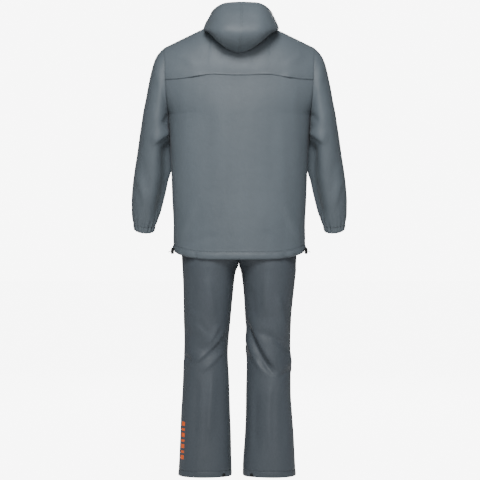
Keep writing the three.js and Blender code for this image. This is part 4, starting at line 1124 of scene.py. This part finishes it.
def build_sleeves():
    """Sleeves and their elastic cuffs."""
    gathers = bpy.context.scene.suit_sizes.gathers
    around = np.linspace(0, 2 * math.pi, 97)[:-1]
    upper, middle_part = np.linspace(0, 3, 12)[:-1], np.linspace(3, 12, 64)[:-1]
    steps = np.concatenate([upper, middle_part, np.linspace(12, CUFF_STEP, 22)])
    t, a = np.meshgrid(steps, around, indexing="ij")
    base = ring_point(t, a, 0.0)
    reach = 1.9 + 0.7 * np.sin(5 * a + 1.1) + 0.4 * np.sin(8 * a)
    fade = np.clip((t - CUFF_STEP + reach) / reach, 0, 1) ** 1.15
    wave = gather_wave(a, gathers) * fade
    for side in ("right", "left"):
        grid = mirrored(base, side)
        sign = 1 if side == "right" else -1
        middle = grid.mean(axis=1, keepdims=True)
        normal = outward_normals(grid, middle, True)
        backward = smooth((0.25 - normal[..., 1]) / 0.6)
        forward = smooth((0.25 + normal[..., 1]) / 0.6)
        folds = stroke_field(grid[..., 0], grid[..., 2], SLEEVE_FOLDS[side])
        low_fade = smooth((CUFF_STEP - t) / 1.5)
        inner_side = smooth((np.abs(a - math.pi) - 0.15) / 0.5)
        lift = folds * (backward + 0.8 * forward) * depth_share() * low_fade * inner_side
        run = edge_run(grid, ("start", "end"))
        lift = np.minimum(lift, SLEEVE_LIFT) + seam_dip(run) + wave - inner_facet(t, a)
        grid = grid + normal * lift[..., None]
        grid[..., 0] -= sign * (lean_on_body(grid, t) - 0.15 * (t == 0))
        cloth_piece(f"sleeve_{side}_cloth", grid, middle, material("jacket"), [f"sleeve_{side}"],
                    loop=True, sewn=("start", "end"))
        sewn_line(line_at(grid, 3, middle, loop=True))
        under = [CUFF_STEP - CUFF_TUCK / CUFF_TALL, CUFF_STEP - 0.02]
        band_steps = np.concatenate([under, np.linspace(CUFF_STEP, CUFF_STEP + 1, 11)])
        bt, ba = np.meshgrid(band_steps, around, indexing="ij")
        share = np.clip(bt - CUFF_STEP, 0, 1)
        swell = 1.0 * np.sin(share * math.pi) - 0.9 - 1.7 * (1 - smooth((bt - (CUFF_STEP - 0.05)) / 0.1))
        ease = 1 - 0.45 * share
        pleat = gather_wave(ba, gathers) * ease
        band = mirrored(ring_point(bt, ba, 0.0), side)
        band_middle = band.mean(axis=1, keepdims=True)
        band_normal = outward_normals(band, band_middle, True)
        band = band + band_normal * (swell + pleat)[..., None]
        cloth_piece(f"cuff_{side}_cloth", band, band_middle, material("jacket"), [f"cuff_{side}"],
                    thick=CASING, loop=True, sewn=("start",))
        sewn_line(line_at(band, CUFF_TUCK + 2.5, band_middle, loop=True))


def build_hood():
    """Hood, left and right half, standing as a pouch behind the neck."""
    turns = np.linspace(0, 180, 73)
    rows = 76
    right = np.stack([hood_column(turn, rows) for turn in turns], axis=1)
    share = np.linspace(0, 1, rows)[:, None]
    for side in ("right", "left"):
        grid = mirrored(right, side)
        normal = grid_normals(grid)
        probe = normal[rows * 3 // 4, 10]
        if probe[1] > 0:
            normal = -normal
        run = edge_run(grid, ("first",))
        rim = edge_run(grid, ("end",))
        outer_part = smooth((share - 0.5) / 0.2)
        folds = stroke_field(grid[..., 0], grid[..., 2], HOOD_FOLDS) * depth_share()
        lift = folds * outer_part * smooth((0.2 - normal[..., 1]) / 0.5) + seam_dip(run, 1.4, 4)
        lift += -0.8 * np.exp(-((rim - 14) / 2.2) ** 2) * outer_part
        grid = grid + normal * lift[..., None]
        move = smooth((share - 0.45) / 0.4) * smooth((20 - grid[..., 1]) / 60)
        grid[..., 0] += HOOD_SHIFT * move
        inner_hint = grid - normal * 50
        cloth_piece(f"hood_{side}_cloth", grid, inner_hint, material("jacket"), [f"hood_{side}"],
                    sewn=("first", "start"))
        sewn_line(line_at(grid[::-1], 14, inner_hint[::-1]))
        sewn_line(line_at(turned(grid), 4, turned(inner_hint)))


def build_trousers():
    """Four leg panels."""
    for side in ("left", "right"):
        for face in ("back", "front"):
            fine = 1.6 if face == "back" else 1.0
            upper = np.linspace(WAIST_Z - WAIST_CASING, CROTCH_Z, 36)
            lower = np.linspace(CROTCH_Z, LEG_END_Z + LEG_HEM, int(130 * fine))[1:]
            z = np.concatenate([upper, lower])
            u, h = np.meshgrid(np.linspace(0, 1, int(56 * fine) + 1), z, indexing="xy")
            grid = leg_point(side, face, u, h)
            sign = -1 if side == "left" else 1
            middle_x = sign * column(LEGS, "z", "seat", z) + SEAT_X
            centre = stack(middle_x, column(LEGS, "z", "mid", z), z)[:, None, :]
            normal = outward_normals(grid, centre)
            edges = ("start", "end", "first", "last")
            run = edge_run(grid, ("end", "first", "last"))
            view_x, view_z, deep = grid[..., 0], grid[..., 2], depth_share()
            if face == "front":
                view_x = view_x * LEG_FRONT["narrow"] + sign * LEG_FRONT["aside"]
                view_z = view_z + LEG_FRONT["lower"]
                deep *= LEG_FRONT["depth"]
            folds = stroke_field(view_x, view_z, LEG_FOLDS[side]) * deep
            lift = folds * smooth((run + 4) / 16) + seam_dip(run)
            grid = grid + normal * lift[..., None]
            joined = (h > CROTCH_Z) & (sign * (grid[..., 0] - SEAT_X) < 0)
            joined |= (h > CROTCH_Z) & (u == 1)
            grid[..., 0] = np.where(joined, SEAT_X, grid[..., 0])
            paint = "printed" if (side, face) == ("left", "back") else "trousers"
            side_run = np.zeros(grid.shape[:2])
            side_run[:, 1:] = np.cumsum(np.linalg.norm(np.diff(grid, axis=1), axis=2), axis=1)
            cloth_piece(f"leg_{side}_{face}_cloth", grid, centre, material(paint), [f"leg_{side}_{face}"],
                        sewn=edges, around=side_run)
            if face == "back":
                sewn_line(line_at(turned(grid), 3, np.swapaxes(centre, 0, 1)))


def leg_ring(parts, height, count):
    """Points round one or both legs at a height."""
    points = []
    for side, face, reverse, skip, trim in parts:
        u = np.linspace(0, 1, count + 1)
        line = leg_point(side, face, u, np.full(u.shape, float(height)))
        line = line[::-1] if reverse else line
        points.append(line[skip:len(line) - trim])
    return np.concatenate(points)


def build_bands():
    """Turned leg hems and the elastic waistband."""
    count = 48
    top = LEG_END_Z + LEG_HEM + TUCK
    for side in ("left", "right"):
        parts = [(side, "back", False, 0, 1), (side, "front", True, 0, 1)]
        heights = np.concatenate([[top, top - TUCK * 0.9], np.linspace(top - TUCK, LEG_END_Z, 11)])
        grid = np.array([leg_ring(parts, z, count) for z in heights])
        centre = grid.mean(axis=1, keepdims=True)
        normal = outward_normals(grid, centre, True)
        share = ((top - heights) / (top - LEG_END_Z))[:, None]
        turn = np.linspace(0, 2 * math.pi, grid.shape[1])[None, :]
        ripple = 0.5 * np.sin(7 * turn + 1) + 0.4 * np.sin(12 * turn)
        lift = 0.8 * np.sin(share * math.pi) - 1.0 + ripple * share * depth_share()
        lift -= 0.8 * smooth((share - 0.85) / 0.15)
        lift -= 1.9 * (1 - smooth((share - 0.09) / 0.06))
        grid = grid + normal * lift[..., None]
        cloth_piece(f"leg_hem_{side}_cloth", grid, centre, material("trousers"), [f"leg_hem_{side}"],
                    thick=CASING, loop=True, sewn=("start",))
        sewn_line(line_at(grid, TUCK + 2, centre, loop=True))
    waist = [
        ("left", "back", False, 0, 1), ("right", "back", True, 1, 0),
        ("right", "front", False, 1, 1), ("left", "front", True, 1, 1),
    ]
    heights = np.linspace(WAIST_Z, WAIST_Z - WAIST_CASING + SEAM / 2, 13)
    grid = np.array([leg_ring(waist, z, count) for z in heights])
    centre = grid.mean(axis=1, keepdims=True)
    normal = outward_normals(grid, centre, True)
    turn = np.linspace(0, 2 * math.pi, grid.shape[1])[None, :]
    pleats = -1.1 * (0.5 - 0.5 * np.cos(46 * turn + np.sin(5 * turn)))
    grid = grid + normal * (pleats * np.ones((len(heights), 1)))[..., None]
    cloth_piece("waistband_cloth", grid, centre, material("trousers"), ["waistband"],
                thick=CASING, loop=True, sewn=("start", "end"))
    sewn_line(line_at(grid, 3, centre, loop=True), line_at(grid, 18, centre, loop=True))


def set_input(modifier, tree, name, value):
    """Sets a modifier's input by its socket's identifier."""
    for item in tree.interface.items_tree:
        if item.item_type == "SOCKET" and item.in_out == "INPUT" and item.name == name:
            modifier[item.identifier] = value
            return
    raise RuntimeError(f"no input named {name}")


def row_tree(name, shape, shape_inputs):
    """Small shapes set along a guide line at an even pitch, each turned along the line."""
    tree = bpy.data.node_groups.new(name, "GeometryNodeTree")
    face = tree.interface
    face.new_socket("Guide", in_out="INPUT", socket_type="NodeSocketGeometry")
    for label in ("Pitch", "Length", "Width", "Height"):
        face.new_socket(label, in_out="INPUT", socket_type="NodeSocketFloat")
    face.new_socket("Finish", in_out="INPUT", socket_type="NodeSocketMaterial")
    face.new_socket("Result", in_out="OUTPUT", socket_type="NodeSocketGeometry")
    nodes, link = tree.nodes, tree.links.new
    given = nodes.new("NodeGroupInput")
    line = nodes.new("GeometryNodeMeshToCurve")
    points = nodes.new("GeometryNodeCurveToPoints")
    points.mode = "LENGTH"
    small = nodes.new(shape)
    for key, value in shape_inputs.items():
        small.inputs[key].default_value = value
    size = nodes.new("ShaderNodeCombineXYZ")
    sized = nodes.new("GeometryNodeTransform")
    align = nodes.new("FunctionNodeAlignRotationToVector")
    align.axis = "X"
    put = nodes.new("GeometryNodeInstanceOnPoints")
    real = nodes.new("GeometryNodeRealizeInstances")
    finish = nodes.new("GeometryNodeSetMaterial")
    result = nodes.new("NodeGroupOutput")
    link(given.outputs["Guide"], line.inputs["Mesh"])
    link(line.outputs["Curve"], points.inputs["Curve"])
    link(given.outputs["Pitch"], points.inputs["Length"])
    link(given.outputs["Length"], size.inputs["X"])
    link(given.outputs["Width"], size.inputs["Y"])
    link(given.outputs["Height"], size.inputs["Z"])
    link(small.outputs["Mesh"], sized.inputs["Geometry"])
    link(size.outputs["Vector"], sized.inputs["Scale"])
    link(points.outputs["Tangent"], align.inputs["Vector"])
    link(points.outputs["Points"], put.inputs["Points"])
    link(sized.outputs["Geometry"], put.inputs["Instance"])
    link(align.outputs["Rotation"], put.inputs["Rotation"])
    link(put.outputs["Instances"], real.inputs["Geometry"])
    link(real.outputs["Geometry"], finish.inputs["Geometry"])
    link(given.outputs["Finish"], finish.inputs["Material"])
    link(finish.outputs["Geometry"], result.inputs["Result"])
    return tree


def guide_object(name, lines):
    """Lines of points in millimetres, as one mesh of edges."""
    points, edges = [], []
    for line in lines:
        first = len(points)
        points += (np.asarray(line) * MM).tolist()
        edges += [(first + i, first + i + 1) for i in range(len(line) - 1)]
    mesh = bpy.data.meshes.new(name)
    mesh.from_pydata(points, edges, [])
    return linked(name, mesh)


def run_along(name, lines, tree, values, finish):
    """Runs a tree along guide lines and keeps the plain mesh."""
    guide = guide_object(name + "_guide", lines)
    modifier = guide.modifiers.new("row", "NODES")
    modifier.node_group = tree
    for key, value in values.items():
        set_input(modifier, tree, key, value)
    set_input(modifier, tree, "Finish", finish)
    guide.update_tag()
    bpy.context.view_layer.update()
    evaluated = guide.evaluated_get(bpy.context.evaluated_depsgraph_get())
    mesh = bpy.data.meshes.new_from_object(evaluated)
    guide.modifiers.remove(modifier)
    bpy.data.objects.remove(guide)
    if not mesh.polygons:
        raise RuntimeError(f"{name} came out empty")
    soften(mesh, SHARP_ROW)
    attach(linked(name, mesh), "suit")


def build_stitches():
    """Stitches along the seams and hems."""
    sizes = bpy.context.scene.suit_sizes
    tree = row_tree("stitch_row", "GeometryNodeMeshUVSphere", {"Segments": 6, "Rings": 4, "Radius": 0.5})
    values = {
        "Pitch": sizes.stitch_pitch, "Length": sizes.stitch_length,
        "Width": sizes.stitch_width, "Height": sizes.stitch_width,
    }
    run_along("seam_stitches", STITCH_LINES, tree, values, material("thread"))


def zip_line():
    """Middle line of the zip from hem to collar."""
    low = HEM_FRONT_Z + 2
    points = [body_section("front", 0.0, lerp(low, JOIN_Z, i / 9), ZIP_HALF) for i in range(10)]
    points += [body_upper("front", 0.0, v, ZIP_HALF) for v in (0.33, 0.66, 0.97)]
    collar = hood_column(180.0, 101)
    points += [collar[int(round(v * 100))] for v in (0.55, 0.7, 0.85, 0.99)]
    return np.array([np.asarray(p, float).reshape(3) for p in points])


TOOTH = {"wide": 3.2, "deep": 1.7, "tall": 1.7, "offset": 1.35, "proud": 0.55}
GUIDE_STEP = 1.8
SLIDER_Z = -22
SLIDER_HALF = 7.5


def build_zip():
    """Zip teeth, slider, pull tab and tapes."""
    line = zip_line()
    tree = row_tree("tooth_row", "GeometryNodeMeshCube", {"Size": (1, 1, 1)})
    run = np.concatenate([[0], np.cumsum(np.linalg.norm(np.diff(line, axis=0), axis=1))])
    dense = np.arange(0, run[-1], GUIDE_STEP)
    path = np.stack([np.interp(dense, run, line[:, k]) for k in range(3)], axis=1)
    path[:, 1] += TOOTH["proud"]
    pitch = bpy.context.scene.suit_sizes.tooth_pitch
    rows = []
    for sign, skip in ((-1, 0), (1, 1)):
        side = path[skip:].copy()
        side[:, 0] = sign * TOOTH["offset"]
        keep = np.abs(side[:, 2] - SLIDER_Z) > SLIDER_HALF
        rows += [side[keep & (side[:, 2] < SLIDER_Z)], side[keep & (side[:, 2] > SLIDER_Z)]]
    values = {
        "Pitch": pitch, "Length": TOOTH["tall"] * MM,
        "Width": TOOTH["wide"] * MM, "Height": TOOTH["deep"] * MM,
    }
    run_along("zip_teeth", rows, tree, values, material("plastic"))
    dress(["zip_tape_left", "zip_tape_right"], "tape")
    dress(["zip_slider", "zip_pull"], "plastic")


def node_object(name):
    """The object of a CAD node."""
    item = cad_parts[name]
    return item if isinstance(item, bpy.types.Object) else bpy.data.objects[name]


def dress(names, kind):
    """Gives CAD nodes a finished material."""
    for name in names:
        obj = node_object(name)
        obj.data.materials.clear()
        obj.data.materials.append(material(kind))


# Snap cap's profile from its rim to its middle: distance from the axis and height over the cloth
SNAP_PROFILE = rows_under(
    "out high",
    (4.6, -1.6),
    (6.0, -1.2),
    (6.2, 0.6),
    (5.9, 1.5),
    (5.2, 2.0),
    (4.4, 1.9),
    (3.9, 1.5),
    (3.2, 1.5),
    (1.8, 1.8),
)
SNAP_Z = -1569.5
SNAP_PROUD = 1.0


def build_snap(side):
    """Round snap cap with a raised rim, pressed through the leg hem."""
    low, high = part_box(f"hem_snap_{side}")
    x = (low[0] + high[0]) / 2 / MM
    share = np.linspace(0.55, 1, 200)
    line = leg_point(side, "back", share, np.full(share.shape, SNAP_Z))
    at = int(np.argmin(np.abs(line[:, 0] - x)))
    spot = line[at]
    run = line[at + 1] - line[at - 1]
    out = np.array([run[1], -run[0], 0.0])
    out = out / np.linalg.norm(out) * (-1 if out[1] > 0 else 1)
    across = np.cross(out, (0.0, 0.0, 1.0))
    around = np.linspace(0, 2 * math.pi, 49)[:-1]
    points = []
    for row in SNAP_PROFILE:
        for turn in around:
            flat = across * math.cos(turn) + np.array([0.0, 0.0, 1.0]) * math.sin(turn)
            points.append(spot + out * (row["high"] + SNAP_PROUD) + flat * row["out"])
    rings, count = len(SNAP_PROFILE), len(around)
    faces = []
    for r in range(rings - 1):
        for c in range(count):
            d = (c + 1) % count
            faces.append((r * count + c, r * count + d, (r + 1) * count + d, (r + 1) * count + c))
    faces.append(tuple(range(count))[::-1])
    faces.append(tuple((rings - 1) * count + c for c in range(count)))
    mesh = bpy.data.meshes.new(f"snap_{side}")
    mesh.from_pydata((np.array(points) * MM).tolist(), [], faces)
    shape = bmesh.new()
    shape.from_mesh(mesh)
    bmesh.ops.recalc_face_normals(shape, faces=shape.faces)
    shape.to_mesh(mesh)
    shape.free()
    soften(mesh, SHARP_SNAP)
    cap = linked(f"snap_{side}", mesh)
    cap.data.materials.append(material("plastic"))
    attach(cap, "suit")
    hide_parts(f"hem_snap_{side}")


def build_fastenings():
    """Cord locks, plungers, cords and snap caps."""
    for side in ("left", "right"):
        dress([f"cord_lock_{side}", f"cord_plunger_{side}"], "plastic")
        dress([f"hem_cord_{side}"], "cord")
        build_snap(side)


CAMERA_AWAY = 5.5
CAMERA_X = 0.0025
CAMERA_Z = -0.7455
VIEW_HEIGHT = 1.704
SENSOR = 36.0
FLOOR_Z = -1.68
FLOOR_HALF = 30.0
WORLD_LIGHT = 0.13
WORLD_SEEN = 8.0
FLOOR_GLOW = 12.6
FLOOR_GLOW_SHARE = 0.6


def area_light(name, place, aim, size, watts):
    data = bpy.data.lights.new(name, "AREA")
    data.shape = "RECTANGLE"
    data.size, data.size_y = size
    data.energy = watts
    obj = linked(name, data)
    obj.location = place
    obj.rotation_euler = (Vector(aim) - Vector(place)).to_track_quat("-Z", "Y").to_euler()


def build_stage():
    """Camera, floor, backdrop and soft light."""
    scene = bpy.context.scene
    data = bpy.data.cameras.new("camera")
    data.sensor_width = SENSOR
    data.lens = SENSOR * CAMERA_AWAY / VIEW_HEIGHT
    camera = linked("camera", data)
    camera.location = (CAMERA_X, -CAMERA_AWAY, CAMERA_Z)
    camera.rotation_euler = (math.pi / 2, 0, 0)
    scene.camera = camera
    mesh = bpy.data.meshes.new("floor")
    corners = [(x * FLOOR_HALF, y * FLOOR_HALF, FLOOR_Z) for x, y in ((-1, -1), (1, -1), (1, 1), (-1, 1))]
    mesh.from_pydata(corners, [], [(0, 1, 2, 3)])
    floor = linked("floor", mesh)
    paint = Paint("floor_white")
    mottle = paint.noise(2.0)
    base = paint.mix(mottle, (0.54, 0.54, 0.54, 1), (0.58, 0.58, 0.58, 1))
    matt = paint.node("ShaderNodeBsdfPrincipled", None, {"Base Color": base, "Roughness": 0.9})
    glow = paint.node("ShaderNodeEmission", None, {"Color": (1, 1, 1, 1), "Strength": FLOOR_GLOW})
    straight = Value(paint, paint.node("ShaderNodeLightPath").outputs["Is Camera Ray"])
    share = straight * FLOOR_GLOW_SHARE
    seen = paint.node("ShaderNodeMixShader", None, {0: share, 1: matt.outputs[0], 2: glow.outputs[0]})
    paint.node("ShaderNodeOutputMaterial", None, {"Surface": seen.outputs[0]})
    mesh.materials.append(paint.material)
    world = bpy.data.worlds.new("soft_white")
    scene.world = world
    world.use_nodes = True
    tree = world.node_tree
    soft = tree.nodes["Background"]
    soft.inputs["Strength"].default_value = WORLD_LIGHT
    seen = tree.nodes.new("ShaderNodeBackground")
    seen.inputs["Strength"].default_value = WORLD_SEEN
    path = tree.nodes.new("ShaderNodeLightPath")
    mix = tree.nodes.new("ShaderNodeMixShader")
    for background in (soft, seen):
        background.inputs["Color"].default_value = (1, 1, 1, 1)
    tree.links.new(path.outputs["Is Camera Ray"], mix.inputs[0])
    tree.links.new(soft.outputs[0], mix.inputs[1])
    tree.links.new(seen.outputs[0], mix.inputs[2])
    tree.links.new(mix.outputs[0], tree.nodes["World Output"].inputs["Surface"])
    area_light("key", (-0.25, -3.5, 2.4), (0, 0, -0.5), (2.0, 1.6), 275)
    area_light("fill", (0.2, -5.4, 0.3), (0, 0, -0.7), (1.6, 1.4), 75)
    area_light("far_key", (0.25, 4.1, 1.1), (0, 0, -0.6), (2.0, 1.6), 290)
    area_light("far_fill", (-0.2, 5.4, 0.3), (0, 0, -0.7), (1.6, 1.4), 75)


class SuitBack(bpy.types.Operator):
    """Makes the back panel and the yoke with its flap"""
    bl_idname = "suit.back"
    bl_label = "Back and yoke"

    def execute(self, context):
        build_back()
        build_yoke()
        return {"FINISHED"}


class SuitFronts(bpy.types.Operator):
    """Makes the left and the right front"""
    bl_idname = "suit.fronts"
    bl_label = "Fronts"

    def execute(self, context):
        build_fronts()
        return {"FINISHED"}


class SuitHem(bpy.types.Operator):
    """Makes the jacket's turned hem"""
    bl_idname = "suit.hem"
    bl_label = "Hem casing"

    def execute(self, context):
        build_hem()
        return {"FINISHED"}


class SuitSleeves(bpy.types.Operator):
    """Makes the sleeves and their elastic cuffs"""
    bl_idname = "suit.sleeves"
    bl_label = "Sleeves and cuffs"

    def execute(self, context):
        build_sleeves()
        return {"FINISHED"}


class SuitHood(bpy.types.Operator):
    """Makes both halves of the hood"""
    bl_idname = "suit.hood"
    bl_label = "Hood"

    def execute(self, context):
        build_hood()
        return {"FINISHED"}


class SuitTrousers(bpy.types.Operator):
    """Makes the leg panels, the leg hems and the waistband"""
    bl_idname = "suit.trousers"
    bl_label = "Trousers"

    def execute(self, context):
        build_trousers()
        build_bands()
        return {"FINISHED"}


class SuitZip(bpy.types.Operator):
    """Makes the zip's teeth and finishes its tapes, slider and pull tab"""
    bl_idname = "suit.zip"
    bl_label = "Zip"

    def execute(self, context):
        build_zip()
        return {"FINISHED"}


class SuitFastenings(bpy.types.Operator):
    """Finishes the cord locks, cords and snap caps"""
    bl_idname = "suit.fastenings"
    bl_label = "Cord locks and snaps"

    def execute(self, context):
        build_fastenings()
        return {"FINISHED"}


class SuitStitches(bpy.types.Operator):
    """Sews the seams and hems of the pieces made so far"""
    bl_idname = "suit.stitches"
    bl_label = "Stitches"

    def execute(self, context):
        build_stitches()
        return {"FINISHED"}


class SuitStage(bpy.types.Operator):
    """Makes the camera, floor and light"""
    bl_idname = "suit.stage"
    bl_label = "Stage"

    def execute(self, context):
        build_stage()
        return {"FINISHED"}


STEPS = [
    SuitStage, SuitBack, SuitFronts, SuitHem, SuitSleeves, SuitHood, SuitTrousers,
    SuitZip, SuitFastenings, SuitStitches,
]


class SuitPanel(bpy.types.Panel):
    """Lists the suit's sizes, colours and pieces"""
    bl_idname = "VIEW3D_PT_rain_suit"
    bl_label = "Rain suit"
    bl_space_type = "VIEW_3D"
    bl_region_type = "UI"
    bl_category = "Rain suit"

    def draw(self, context):
        for group in (context.scene.suit_sizes, context.scene.suit_colours):
            for key in group.__annotations__:
                self.layout.prop(group, key)
        for step in STEPS:
            self.layout.operator(step.bl_idname)


CLASSES = [SuitSizes, SuitColours, *STEPS, SuitPanel]


def register():
    for item in CLASSES:
        bpy.utils.register_class(item)
    bpy.types.Scene.suit_sizes = bpy.props.PointerProperty(type=SuitSizes)
    bpy.types.Scene.suit_colours = bpy.props.PointerProperty(type=SuitColours)


def unregister():
    del bpy.types.Scene.suit_sizes
    del bpy.types.Scene.suit_colours
    for item in reversed(CLASSES):
        bpy.utils.unregister_class(item)


def main():
    register()
    for step in STEPS:
        group, name = step.bl_idname.split(".")
        getattr(getattr(bpy.ops, group), name)()


if __name__ == "__main__":
    main()
